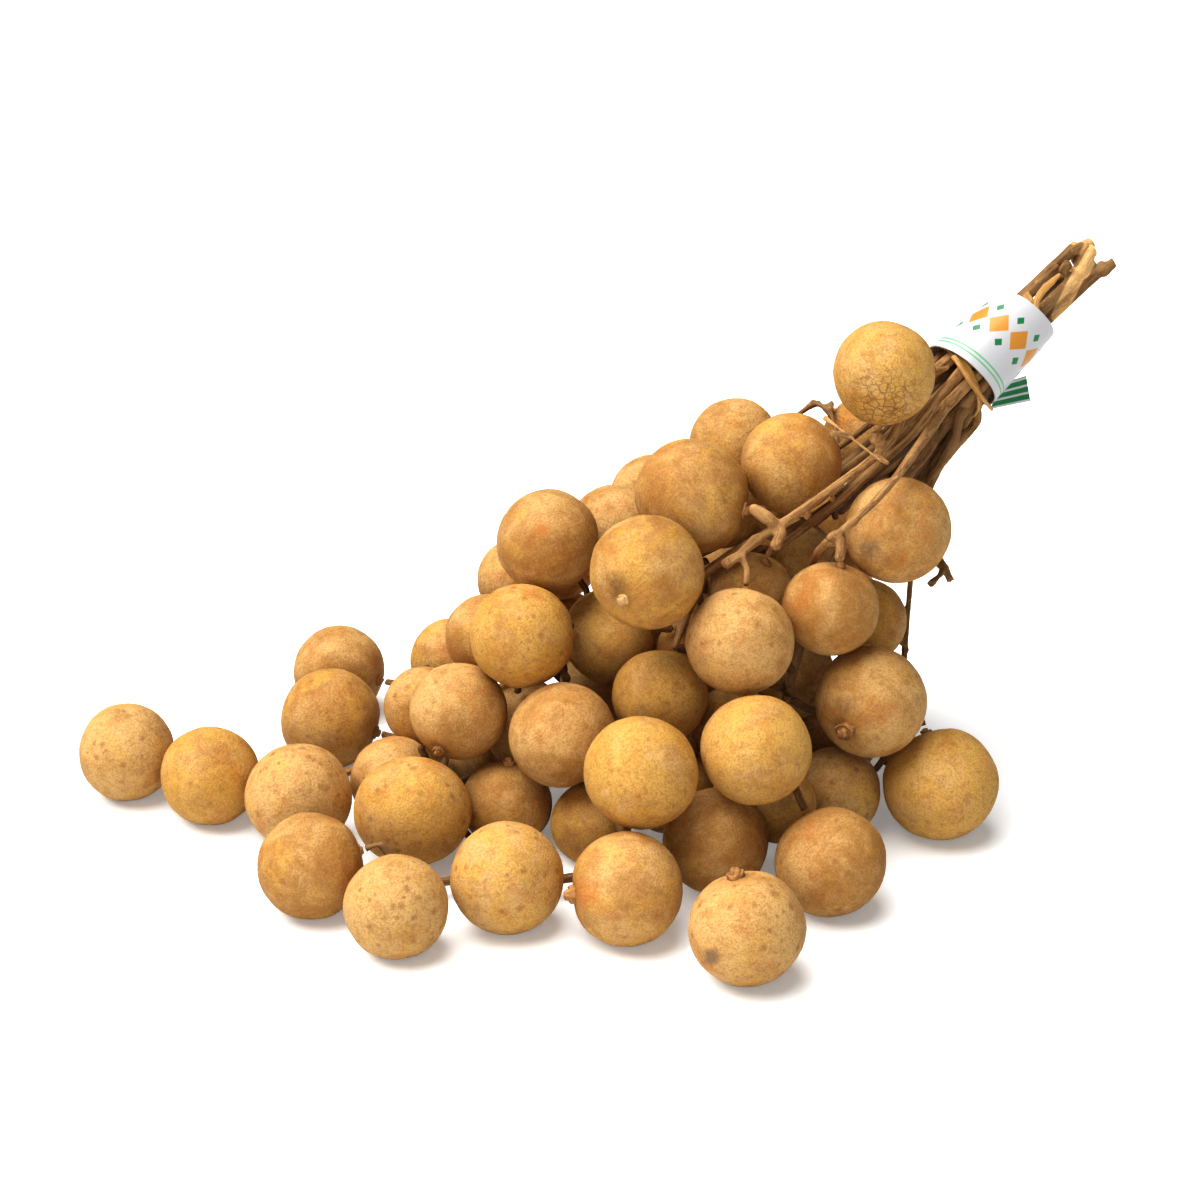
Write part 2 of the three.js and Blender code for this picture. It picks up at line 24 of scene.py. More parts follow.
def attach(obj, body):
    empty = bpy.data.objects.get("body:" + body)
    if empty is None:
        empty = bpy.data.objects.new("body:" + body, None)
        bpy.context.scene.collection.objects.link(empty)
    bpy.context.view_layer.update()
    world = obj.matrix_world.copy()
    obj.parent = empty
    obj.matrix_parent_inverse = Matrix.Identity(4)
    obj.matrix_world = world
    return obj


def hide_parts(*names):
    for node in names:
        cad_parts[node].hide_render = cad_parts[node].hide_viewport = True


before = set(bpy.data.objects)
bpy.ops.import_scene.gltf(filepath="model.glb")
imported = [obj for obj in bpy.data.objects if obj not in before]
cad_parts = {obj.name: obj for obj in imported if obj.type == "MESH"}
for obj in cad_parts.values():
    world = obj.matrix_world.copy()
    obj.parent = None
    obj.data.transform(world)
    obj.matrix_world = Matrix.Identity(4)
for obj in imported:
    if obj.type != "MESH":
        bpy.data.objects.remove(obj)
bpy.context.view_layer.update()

log = logging.getLogger("longans")
MM = 0.001
BODY = "root"
RIGHT = Vector((1, 0, 0))
LOOSE = 0.002 * MM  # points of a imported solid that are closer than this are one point
Pixel = tuple[float, float]
Point = tuple[float, float, float]
Rgba = tuple[float, float, float, float]


def linear(red: float, green: float, blue: float) -> Rgba:
    """Turn a colour as seen on a screen into the shader's own scale.

    Args:
        red: Red from 0 to 255.
        green: Green from 0 to 255.
        blue: Blue from 0 to 255.

    Returns:
        The linear colour with full alpha.
    """
    def channel(value: float) -> float:
        """Return one channel on the linear scale."""
        share = value / 255
        return share / 12.92 if share <= 0.04045 else ((share + 0.055) / 1.055) ** 2.4

    return channel(red), channel(green), channel(blue), 1.0


# The place of the camera.


@dataclass(frozen=True)
class PhotoView:
    """The camera's place, and where points of the bunch are seen in the picture."""

    rise: float = math.radians(25)
    distance: float = 1.0
    lens: float = 96.0
    sensor: float = 36.0
    picture: float = 1200.0
    aim: Point = (1.39 * MM, 148.73 * MM, 0.0)
    deep: float = 0.16  # the bunch is nowhere further than this from the aim, near or far
    steps: int = 120

    @property
    def forward(self) -> Vector:
        """Return the way the camera looks."""
        return Vector((0, math.cos(self.rise), -math.sin(self.rise)))

    @property
    def upward(self) -> Vector:
        """Return the way that is up in the picture."""
        return Vector((0, math.sin(self.rise), math.cos(self.rise)))

    @property
    def eye(self) -> Vector:
        """Return the camera's place."""
        return Vector(self.aim) - self.forward * self.distance

    @property
    def focal(self) -> float:
        """Return the focal length in pixels of the picture."""
        return self.lens / self.sensor * self.picture

    def ray(self, pixel: Pixel) -> Vector:
        """Return the unit way from the eye through a pixel.

        Args:
            pixel: The pixel across and down.

        Returns:
            The way of the line of sight.
        """
        across = (pixel[0] - self.picture / 2) / self.focal
        up = (self.picture / 2 - pixel[1]) / self.focal
        return (self.forward + RIGHT * across + self.upward * up).normalized()

    def seen(self, points: np.ndarray) -> np.ndarray:
        """Find the pixels at which points are seen.

        Args:
            points: Places, one in each row.

        Returns:
            Pixels across and down, one in each row.
        """
        away = points - np.array(self.eye)
        depth = away @ np.array(self.forward)
        across = self.picture / 2 + self.focal * away[:, 0] / depth
        down = self.picture / 2 - self.focal * (away @ np.array(self.upward)) / depth
        return np.stack([across, down], axis=1)

    def facing(self, points: np.ndarray, ways: np.ndarray) -> np.ndarray:
        """Return how far points' outward ways face the camera, above 0 where they do."""
        return (ways * (np.array(self.eye) - points)).sum(axis=1)

    def at_height(self, across: float, down: float, height: float) -> Vector:
        """Return the point at a height, in millimetres, that is seen at a pixel."""
        ray = self.ray((across, down))
        return self.eye + ray * ((height * MM - self.eye.z) / ray.z)

    def on_plane(self, pixel: Pixel, point: Vector, normal: Vector) -> Vector:
        """Return the point of a plane that is seen at a pixel."""
        ray = self.ray(pixel)
        return self.eye + ray * ((point - self.eye).dot(normal) / ray.dot(normal))

    def reach(self, pixel: Pixel, tree: BVHTree) -> float:
        """Measure how far a surface is from the eye through a pixel.

        Args:
            pixel: The pixel.
            tree: The surface.

        Returns:
            The distance to the surface, or to where the ray passes it closest.
        """
        ray = self.ray(pixel)
        hit = tree.ray_cast(self.eye, ray)
        if hit[0] is not None:
            return hit[3]
        steps = np.linspace(self.distance - self.deep, self.distance + self.deep, self.steps)
        return float(min(steps, key=lambda step: tree.find_nearest(self.eye + ray * step)[3]))

    def place_camera(self) -> None:
        """Make the camera and give it to the scene."""
        data = bpy.data.cameras.new("camera")
        data.lens = self.lens
        data.sensor_width = self.sensor
        camera = bpy.data.objects.new("camera", data)
        camera.location = self.eye
        camera.rotation_euler = (math.pi / 2 - self.rise, 0, 0)
        bpy.context.scene.collection.objects.link(camera)
        bpy.context.scene.camera = camera


VIEW = PhotoView()


# Modelling helpers, each a step that would be made by hand.


class Part(Enum):
    """A kind of part of a mesh, by the mesh's own list of them."""

    VERT = "vertices"
    EDGE = "edges"
    FACE = "polygons"


def deselect() -> None:
    """Deselect every piece."""
    for other in bpy.context.selected_objects:
        other.select_set(False)


def pick(piece: Piece) -> None:
    """Select one piece alone and make it the active one.

    Args:
        piece: The piece.
    """
    deselect()
    piece.select_set(True)
    bpy.context.view_layer.objects.active = piece


def made(name: str) -> Piece:
    """Name the piece that an operator has just made.

    Args:
        name: The piece's name.

    Returns:
        The piece.
    """
    piece = bpy.context.object
    piece.name = name
    return piece


def link_mesh(name: str, mesh: Mesh) -> Piece:
    """Put a mesh into the scene as a piece at the origin.

    Args:
        name: The piece's name.
        mesh: Its mesh.

    Returns:
        The new piece.
    """
    piece = bpy.data.objects.new(name, mesh)
    mesh.name = name
    bpy.context.scene.collection.objects.link(piece)
    return piece


def finish_with(piece: Piece, kind: str, **settings: object) -> None:
    """Add a modifier to a piece and apply it.

    Args:
        piece: The piece.
        kind: The modifier's type.
        **settings: Its settings.
    """
    pick(piece)
    modifier = piece.modifiers.new(kind.lower(), kind)
    for name, value in settings.items():
        setattr(modifier, name, value)
    bpy.ops.object.modifier_apply(modifier=modifier.name)


@dataclass(frozen=True)
class Roughness:
    """Lumps pushed out of a surface: the cloud texture's name, their size and their height."""

    name: str
    size: float
    height: float
    layers: int = 2

    def press(self, piece: Piece) -> None:
        """Push a piece's surface in and out.

        Args:
            piece: The piece, with its place in its mesh.
        """
        texture = bpy.data.textures.get(self.name) or bpy.data.textures.new(self.name, "CLOUDS")
        texture.noise_scale = self.size
        texture.noise_depth = self.layers
        texture.noise_basis = "BLENDER_ORIGINAL"
        finish_with(piece, "DISPLACE", texture=texture, texture_coords="LOCAL",
                    strength=self.height, mid_level=0.5)


def read_vectors(mesh: Mesh, key: str) -> np.ndarray:
    """Read a vector of every vertex of a mesh.

    Args:
        mesh: The mesh.
        key: Which of the vertices' vectors.

    Returns:
        The vectors, one in each row.
    """
    flat = np.empty(len(mesh.vertices) * 3)
    mesh.vertices.foreach_get(key, flat)
    return flat.reshape(-1, 3)


def positions(mesh: Mesh) -> np.ndarray:
    """Return a mesh's vertex places, one in each row."""
    return read_vectors(mesh, "co")


def normals(mesh: Mesh) -> np.ndarray:
    """Return a mesh's vertex normals, one in each row."""
    return read_vectors(mesh, "normal")


def move_to(mesh: Mesh, places: np.ndarray) -> None:
    """Give a mesh's vertices new places, one in each row."""
    mesh.vertices.foreach_set("co", places.ravel())


def note(mesh: Mesh, name: str, values: np.ndarray | float) -> None:
    """Keep a value or a vector for each vertex of a mesh.

    Args:
        mesh: The mesh.
        name: The attribute's name.
        values: One number or three numbers for each vertex, or one number for all.
    """
    values = np.full(len(mesh.vertices), values) if np.isscalar(values) else values
    kind, key = ("FLOAT", "value") if values.ndim == 1 else ("FLOAT_VECTOR", "vector")
    kept = mesh.attributes.get(name) or mesh.attributes.new(name, kind, "POINT")
    kept.data.foreach_set(key, values.astype(np.float32).ravel())


def open_mesh(piece: Piece) -> None:
    """Go into edit mode on a piece, with all of it selected.

    Args:
        piece: The piece.
    """
    pick(piece)
    bpy.ops.object.mode_set(mode="EDIT")
    bpy.ops.mesh.select_all(action="SELECT")


def open_parts(piece: Piece, kind: Part, wanted: Callable[[object], bool]) -> None:
    """Go into edit mode on a piece, with the parts selected that pass a test.

    Args:
        piece: The piece.
        kind: Whether points, edges or faces are tested.
        wanted: The test of one of them.
    """
    open_mesh(piece)
    bpy.ops.mesh.select_mode(type=kind.name)
    bpy.ops.mesh.select_all(action="DESELECT")
    close_mesh()
    for part in getattr(piece.data, kind.value):
        part.select = wanted(part)
    bpy.ops.object.mode_set(mode="EDIT")


def close_mesh() -> None:
    """Leave edit mode."""
    bpy.ops.object.mode_set(mode="OBJECT")


def merged_copy(node: str, name: str) -> Piece:
    """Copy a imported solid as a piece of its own, with its loose triangles joined.

    Args:
        node: The solid's name.
        name: The new piece's name.

    Returns:
        The new piece.
    """
    piece = link_mesh(name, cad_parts[node].data.copy())
    piece.data.materials.clear()
    open_mesh(piece)
    bpy.ops.mesh.remove_doubles(threshold=LOOSE)
    close_mesh()
    return piece


def soften(piece: Piece, angle: float = 60) -> None:
    """Shade a piece smooth except over sharp edges.

    Args:
        piece: The piece.
        angle: Edges sharper than this many degrees stay sharp.
    """
    pick(piece)
    bpy.ops.object.shade_smooth_by_angle(angle=math.radians(angle))


def join(pieces: Sequence[Piece]) -> Piece:
    """Join pieces into the first one.

    Args:
        pieces: The pieces, the one that stays first.

    Returns:
        The first piece, with all the meshes in it.
    """
    pick(pieces[0])
    for piece in pieces[1:]:
        piece.select_set(True)
    bpy.ops.object.join()
    return pieces[0]


def hang(piece: Piece, slot: str, *nodes: str) -> None:
    """Make a finished piece part of the bunch.

    Args:
        piece: The piece.
        slot: The name of a material slot; not used.
        *nodes: The solids that it stands for.
    """
    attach(piece, BODY)
    if nodes:
        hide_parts(*nodes)


# What the finishes share.


@dataclass(frozen=True)
class Noise:
    """How a noise is drawn: lumps to a metre, finer layers, their strength and a waviness."""

    scale: float
    detail: float = 3.0
    rough: float = 0.6
    distortion: float = 0.0


@dataclass(frozen=True)
class Spots:
    """How spots are scattered: cells to a metre, a spot's size, and the share of cells with one."""

    scale: float
    size: float
    share: float


@dataclass(frozen=True)
class Fade:
    """Where a mask lets a colour in: from low to high, and how much of it at most."""

    low: float
    high: float
    most: float = 1.0


@dataclass(frozen=True)
class Relief:
    """How strongly and how deep, in metres, a surface is embossed."""

    strength: float
    depth: float


class Nodes:
    """A short hand for a node tree: adds nodes, sets their inputs and links them."""

    grain_range = (0.3, 0.7)  # the values that most of a grain lies between

    def __init__(self, tree: NodeTree) -> None:
        """Keep the tree."""
        self.tree = tree

    def add(self, kind: str, inputs: Optional[dict] = None, **settings: object) -> Node:
        """Add a node.

        Args:
            kind: The node's type.
            inputs: Values or outputs of other nodes, by the input's name or number.
            **settings: The node's own settings.

        Returns:
            The new node.
        """
        node = self.tree.nodes.new(kind)
        for name, value in settings.items():
            setattr(node, name, value)
        for key, value in (inputs or {}).items():
            if isinstance(value, Socket):
                self.tree.links.new(value, node.inputs[key])
            else:
                node.inputs[key].default_value = value
        return node

    def math(self, operation: str, first: object, second: object = 0.0) -> Socket:
        """Return the output of a Math node."""
        return self.add("ShaderNodeMath", {0: first, 1: second}, operation=operation).outputs[0]

    def times(self, first: object, second: object) -> Socket:
        """Return the product of two values."""
        return self.math("MULTIPLY", first, second)

    def plus(self, first: object, second: object) -> Socket:
        """Return the sum of two values."""
        return self.math("ADD", first, second)

    def minus(self, first: object, second: object) -> Socket:
        """Return the difference of two values."""
        return self.math("SUBTRACT", first, second)

    def scaled(self, vector: object, by: Point) -> Socket:
        """Return a vector multiplied along each axis."""
        return self.add("ShaderNodeVectorMath", {0: vector, 1: by}, operation="MULTIPLY").outputs[0]

    def added(self, vector: object, other: object) -> Socket:
        """Return the sum of two vectors."""
        return self.add("ShaderNodeVectorMath", {0: vector, 1: other}, operation="ADD").outputs[0]

    def place(self) -> Socket:
        """Return the place on the piece, in metres."""
        return self.add("ShaderNodeTexCoord").outputs["Object"]

    def value(self, name: str) -> Socket:
        """Return a number kept in an attribute of the piece."""
        return self.add("ShaderNodeAttribute", attribute_name=name).outputs["Fac"]

    def vector(self, name: str) -> Socket:
        """Return a vector kept in an attribute of the piece."""
        return self.add("ShaderNodeAttribute", attribute_name=name).outputs["Vector"]

    def noise(self, vector: object, plan: Noise, scale: Optional[Socket] = None) -> Socket:
        """Draw a noise.

        Args:
            vector: Where it is read.
            plan: How it is drawn.
            scale: A scale that takes the place of the plan's.

        Returns:
            Its value.
        """
        return self.add(
            "ShaderNodeTexNoise",
            {"Vector": vector, "Scale": scale or plan.scale, "Detail": plan.detail,
             "Roughness": plan.rough, "Distortion": plan.distortion},
        ).outputs[0]

    def step(self, value: object, low: object, high: object) -> Socket:
        """Return 0 below low, 1 above high, and a smooth rise between them."""
        return self.add(
            "ShaderNodeMapRange", {0: value, 1: low, 2: high, 3: 0.0, 4: 1.0},
            interpolation_type="SMOOTHSTEP",
        ).outputs[0]

    def mix(self, share: object, first: object, second: object) -> Socket:
        """Return two colours mixed by a share."""
        return self.add("ShaderNodeMix", {0: share, 6: first, 7: second}, data_type="RGBA").outputs[2]

    def coat(self, body: object, mask: object, fade: Fade, colour: object) -> Socket:
        """Lay a colour over another one.

        Args:
            body: The colour below.
            mask: The value that lets the upper colour in.
            fade: Where it does.
            colour: The upper colour.

        Returns:
            The colour that shows.
        """
        share = self.step(mask, fade.low, fade.high)
        if fade.most < 1:
            share = self.times(share, fade.most)
        return self.mix(share, body, colour)

    def group(self, tree: NodeTree, **inputs: object) -> Node:
        """Place a shared group, with its inputs by name."""
        return self.add("ShaderNodeGroup", inputs, node_tree=tree)

    def spotted(self, tree: NodeTree, vector: object, plan: Spots) -> Socket:
        """Scatter spots with the shared group, and return their mask."""
        node = self.group(tree, Vector=vector, Scale=plan.scale, Size=plan.size, Share=plan.share)
        return node.outputs["Spots"]

    def finish(self, shader: Node, colour: Socket, height: Socket, relief: Relief,
               grain: Socket, roughness: tuple[float, float]) -> None:
        """Give a shader its colour, its relief and its roughness.

        Args:
            shader: The Principled shader.
            colour: The colour that shows.
            height: The height of the relief.
            relief: How strong it is.
            grain: The grain that the roughness follows.
            roughness: The roughness where the grain is low and where it is high.
        """
        bump = self.add("ShaderNodeBump", {"Strength": relief.strength, "Distance": relief.depth,
                                           "Height": height})
        low, high = self.grain_range
        rough = self.add("ShaderNodeMapRange",
                         {0: grain, 1: low, 2: high, 3: roughness[0], 4: roughness[1]})
        for value, name in ((colour, "Base Color"), (bump.outputs[0], "Normal"),
                            (rough.outputs[0], "Roughness")):
            self.tree.links.new(value, shader.inputs[name])


def new_group(name: str, inputs: Sequence[str], outputs: Sequence[str]) -> tuple[NodeTree, Nodes, Node]:
    """Start a node group that reads a vector and some values.

    Args:
        name: The group's name.
        inputs: The names of its values, beside Vector.
        outputs: The names of the values that it gives.

    Returns:
        The group's tree, its short hand and the node of its inputs.
    """
    tree = bpy.data.node_groups.new(name, "ShaderNodeTree")
    tree.interface.new_socket("Vector", in_out="INPUT", socket_type="NodeSocketVector")
    for label in inputs:
        tree.interface.new_socket(label, in_out="INPUT", socket_type="NodeSocketFloat")
    for label in outputs:
        tree.interface.new_socket(label, in_out="OUTPUT", socket_type="NodeSocketFloat")
    nodes = Nodes(tree)
    return tree, nodes, nodes.add("NodeGroupInput")


def wavy(nodes: Nodes, vector: Socket, scale: float, detail: float, reach: float) -> Socket:
    """Shift a vector to and fro, so that what is drawn with it is wavy.

    Args:
        nodes: The short hand of the tree.
        vector: The vector.
        scale: Waves to a metre.
        detail: Their finer layers.
        reach: How far they shift, in metres.

    Returns:
        The shifted vector.
    """
    wobble = nodes.add("ShaderNodeTexNoise", {"Vector": vector, "Scale": scale, "Detail": detail})
    return nodes.added(vector, nodes.scaled(wobble.outputs["Color"], (reach,) * 3))


def spot_group() -> NodeTree:
    """Build the group that scatters soft-edged spots.

    Returns:
        A group with Vector, Scale, Size and Share in, and Spots out.
    """
    smallest, solid_share = 0.35, 0.12
    tree, nodes, given = new_group("spots", ("Scale", "Size", "Share"), ("Spots",))
    cells = nodes.add("ShaderNodeTexVoronoi", {
        "Vector": wavy(nodes, given.outputs["Vector"], scale=900.0, detail=2.0, reach=0.9 * MM),
        "Scale": given.outputs["Scale"], "Randomness": 1.0,
    })
    parts = nodes.add("ShaderNodeSeparateColor", {0: cells.outputs["Color"]})
    kept = nodes.math("LESS_THAN", parts.outputs[0], given.outputs["Share"])
    radius = nodes.times(given.outputs["Size"], nodes.plus(parts.outputs[1], smallest))
    away = nodes.step(cells.outputs["Distance"], nodes.times(radius, solid_share), radius)
    nodes.add("NodeGroupOutput", {"Spots": nodes.times(nodes.minus(1.0, away), kept)})
    return tree


def grain_group() -> NodeTree:
    """Build the group that draws fine grain, and broader patches of it.

    Returns:
        A group with Vector and Scale in, and Grain and Patches out.
    """
    patch_scale = 0.22
    tree, nodes, given = new_group("grain", ("Scale",), ("Grain", "Patches"))
    vector, scale = given.outputs["Vector"], given.outputs["Scale"]
    fine = nodes.noise(vector, Noise(1.0, detail=5, rough=0.65), scale)
    coarse = nodes.noise(vector, Noise(1.0, detail=3, rough=0.5), nodes.times(scale, patch_scale))
    nodes.add("NodeGroupOutput", {"Grain": fine, "Patches": coarse})
    return tree


def crackle_group() -> NodeTree:
    """Build the group that draws a net of thin cracks.

    Returns:
        A group with Vector, Scale and Width in, and Cracks out.
    """
    tree, nodes, given = new_group("cracks", ("Scale", "Width"), ("Cracks",))
    cells = nodes.add("ShaderNodeTexVoronoi", {
        "Vector": wavy(nodes, given.outputs["Vector"], scale=420.0, detail=3.0, reach=2.4 * MM),
        "Scale": given.outputs["Scale"],
    }, feature="DISTANCE_TO_EDGE")
    away = nodes.step(cells.outputs["Distance"], 0.0, given.outputs["Width"])
    nodes.add("NodeGroupOutput", {"Cracks": nodes.minus(1.0, away)})
    return tree


@dataclass
class SharedEffects:
    """The node groups, built once."""

    spots: NodeTree = field(default_factory=spot_group)
    grain: NodeTree = field(default_factory=grain_group)
    cracks: NodeTree = field(default_factory=crackle_group)


def start_material(name: str, specular: float = 0.5) -> tuple[Material, Nodes, Node]:
    """Start a material with a Principled shader.

    Args:
        name: The material's name.
        specular: How strongly it shines.

    Returns:
        The material, its short hand and its shader.
    """
    material = bpy.data.materials.new(name)
    material.use_nodes = True
    shader = material.node_tree.nodes["Principled BSDF"]
    shader.inputs["Specular IOR Level"].default_value = specular
    return material, Nodes(material.node_tree), shader


# The finishes.


@dataclass(frozen=True)
class SkinFinish:
    """The dry, suede-like skin of a longan."""

    tan: Rgba = linear(214, 175, 115)
    brown: Rgba = linear(178, 129, 66)
    gold: Rgba = linear(218, 172, 82)
    rust: Rgba = linear(190, 119, 53)
    felt: Rgba = linear(144, 99, 50)
    spot: Rgba = linear(154, 107, 58)
    speck: Rgba = linear(78, 48, 28)
    pale: Rgba = linear(228, 196, 150)
    grey: Rgba = linear(120, 98, 76)
    dark: Rgba = linear(96, 60, 30)

    broad: Noise = Noise(95.0, 4, 0.6, 0.4)
    tone_share: float = 0.42
    tan_in: Fade = Fade(0.35, 0.78)
    golden: Noise = Noise(120.0, 3, 0.55, 0.6)
    golden_shift: Point = (0.31, 0.12, 0.77)
    gold_in: Fade = Fade(0.5, 0.78, 0.62)
    rusty: Noise = Noise(105.0, 3, 0.55, 0.5)
    rusty_shift: Point = (0.77, 0.45, 0.2)
    rust_in: Fade = Fade(0.52, 0.74, 0.5)
    felt_scale: float = 1900.0
    felt_in: Fade = Fade(0.46, 0.6, 0.36)
    dust_in: Fade = Fade(0.46, 0.36, 0.12)
    blotches: Noise = Noise(300.0, 5, 0.6, 0.6)
    blotch_in: Fade = Fade(0.5, 0.66, 0.3)
    spots: Spots = Spots(310.0, 0.36, 0.85)
    specks: Spots = Spots(700.0, 0.2, 0.12)
    speck_share: float = 0.5
    round_stalk: Fade = Fade(0.2, 0.02, 0.4)
    at_stalk: Fade = Fade(0.085, 0.02, 0.6)
    ragged: Noise = Noise(650.0)
    raggedness: float = 0.7
    mark_from: float = 0.2
    mark_full: float = 0.85
    mark_shares: tuple[float, ...] = (0.8, 0.75, 0.8, 0.85)  # of rust, grey, pale and dark at most
    crack_scale: float = 470.0
    crack_width: float = 0.09
    crack_share: float = 0.5

    pebbles: Noise = Noise(1500.0, 4, 0.62)
    pebble_height: float = 0.7
    felt_height: float = 0.4
    wrinkles: Noise = Noise(1.0)
    wrinkle_in: Fade = Fade(0.42, 0.08)
    wrinkle_height: float = 1.2
    crack_depth: float = 0.6
    relief: Relief = Relief(0.9, 0.4 * MM)
    roughness: tuple[float, float] = (0.6, 0.78)
    specular: float = 0.28

    def build(self, shared: SharedEffects) -> Material:
        """Build the material.

        Args:
            shared: The shared node groups.

        Returns:
            The skin.
        """
        material, nodes, shader = start_material("longan_skin", self.specular)
        place, pole = nodes.place(), nodes.value("pole")
        grain = nodes.group(shared.grain, Vector=place, Scale=self.felt_scale).outputs["Grain"]
        cracks = nodes.group(shared.cracks, Vector=place, Scale=self.crack_scale, Width=self.crack_width)
        cracked = nodes.times(cracks.outputs["Cracks"], nodes.value(MarkKind.CRACKS.value))
        body = self.mottle(nodes, place, grain)
        spots = nodes.spotted(shared.spots, place, self.spots)
        body = nodes.mix(nodes.times(spots, nodes.value("spotty")), body, self.spot)
        specks = nodes.spotted(shared.spots, place, self.specks)
        body = nodes.mix(nodes.times(specks, self.speck_share), body, self.speck)
        body = nodes.coat(body, pole, self.round_stalk, self.brown)
        body = nodes.coat(body, pole, self.at_stalk, self.dark)
        body = self.worn(nodes, place, body)
        body = nodes.mix(nodes.times(cracked, self.crack_share), body, self.dark)

        wrinkles = nodes.noise(nodes.vector("ray"), self.wrinkles)
        near = nodes.step(pole, self.wrinkle_in.low, self.wrinkle_in.high)
        height = nodes.plus(nodes.times(nodes.noise(place, self.pebbles), self.pebble_height),
                            nodes.times(grain, self.felt_height))
        height = nodes.plus(height, nodes.times(nodes.times(wrinkles, near), self.wrinkle_height))
        height = nodes.minus(height, nodes.times(cracked, self.crack_depth))
        nodes.finish(shader, body, height, self.relief, grain, self.roughness)
        return material

    def mottle(self, nodes: Nodes, place: Socket, grain: Socket) -> Socket:
        """Mix the skin's own colours.

        Args:
            nodes: The material's short hand.
            place: The place on the fruit.
            grain: The felt's grain.

        Returns:
            The colour without spots and marks.
        """
        lightness = nodes.times(nodes.value("tone"), self.tone_share)
        body = nodes.coat(self.brown, nodes.plus(nodes.noise(place, self.broad), lightness),
                          self.tan_in, self.tan)
        golden = nodes.noise(nodes.added(place, self.golden_shift), self.golden)
        body = nodes.coat(body, nodes.plus(golden, nodes.value("warmth")), self.gold_in, self.gold)
        rusty = nodes.noise(nodes.added(place, self.rusty_shift), self.rusty)
        body = nodes.coat(body, rusty, self.rust_in, self.rust)
        body = nodes.coat(body, grain, self.felt_in, self.felt)
        body = nodes.coat(body, grain, self.dust_in, self.pale)
        return nodes.coat(body, nodes.noise(place, self.blotches), self.blotch_in, self.spot)

    def worn(self, nodes: Nodes, place: Socket, body: Socket) -> Socket:
        """Lay the fruit's own marks over its colour.

        Args:
            nodes: The material's short hand.
            place: The place on the fruit.
            body: The colour without marks.

        Returns:
            The colour with marks.
        """
        edge = nodes.times(nodes.minus(nodes.noise(place, self.ragged), 0.5), self.raggedness)
        kinds = (MarkKind.RUST, MarkKind.GREY, MarkKind.PALE, MarkKind.DARK)
        colours = (self.rust, self.grey, self.pale, self.dark)
        for kind, colour, most in zip(kinds, colours, self.mark_shares):
            fade = Fade(self.mark_from, self.mark_full, most)
            body = nodes.coat(body, nodes.plus(nodes.value(kind.value), edge), fade, colour)
        return body


@dataclass(frozen=True)
class BarkFinish:
    """Grey-brown bark with long streaks, pale flecks and bare wood where it is stripped."""

    name: str
    light: Rgba = linear(212, 173, 118)
    middle: Rgba = linear(164, 120, 74)
    deep: Rgba = linear(82, 54, 32)
    fleck: Rgba = linear(214, 176, 122)
    bare: Rgba = linear(232, 198, 142)
    bare_dark: Rgba = linear(196, 146, 88)

    streak_round: float = 2.4
    streak_along: float = 110.0
    streak_scale: float = 3.2
    streak_in: Fade = Fade(0.32, 0.58)
    worn_in: Fade = Fade(0.38, 0.68, 0.6)
    patches: Noise = Noise(75.0, 4, 0.6, 0.3)
    patch_in: Fade = Fade(0.42, 0.66, 0.55)
    age_and_shade_share: float = 0.8
    fleck_round: float = 1.4 * MM
    fleck_along: float = 0.45
    flecks: Spots = Spots(1300.0, 0.32, 0.34)
    fleck_share: float = 0.75
    fibres: Noise = Noise(5.0, 4)
    fibre_in: Fade = Fade(0.35, 0.62)
    bare_in: Fade = Fade(0.3, 0.6)
    warts: Noise = Noise(900.0)
    wart_height: float = 0.5
    relief: Relief = Relief(0.4, 0.2 * MM)
    roughness: tuple[float, float] = (0.74, 0.9)
    specular: float = 0.25

    def build(self, shared: SharedEffects) -> Material:
        """Build the material.

        Args:
            shared: The shared node groups.

        Returns:
            The bark.
        """
        material, nodes, shader = start_material(self.name, self.specular)
        place, round_way = nodes.place(), nodes.vector("round")
        along = nodes.added(nodes.scaled(round_way, (self.streak_round,) * 3),
                            nodes.scaled(place, (self.streak_along,) * 3))
        streaks = nodes.group(shared.grain, Vector=along, Scale=self.streak_scale)
        grain = streaks.outputs["Grain"]
        body = nodes.coat(self.deep, grain, self.streak_in, self.middle)
        body = nodes.coat(body, streaks.outputs["Patches"], self.worn_in, self.light)
        body = nodes.coat(body, nodes.noise(place, self.patches), self.patch_in, self.light)
        # Darkens the bark by the kept value: partly older bark, partly painted shade for stems that lie in
        # shadow.
        body = nodes.mix(nodes.times(nodes.value("aged"), self.age_and_shade_share), body, self.deep)
        drawn = nodes.added(nodes.scaled(round_way, (self.fleck_round,) * 3),
                            nodes.scaled(place, (self.fleck_along,) * 3))
        flecks = nodes.spotted(shared.spots, drawn, self.flecks)
        body = nodes.mix(nodes.times(flecks, self.fleck_share), body, self.fleck)
        wood = nodes.coat(self.bare_dark, nodes.noise(along, self.fibres), self.fibre_in, self.bare)
        body = nodes.coat(body, nodes.value("bare"), self.bare_in, wood)
        height = nodes.plus(grain, nodes.times(nodes.noise(place, self.warts), self.wart_height))
        nodes.finish(shader, body, height, self.relief, grain, self.roughness)
        return material


RING_BARK = BarkFinish("ring_bark", light=linear(206, 160, 104), middle=linear(160, 112, 66),
                       deep=linear(96, 62, 34))


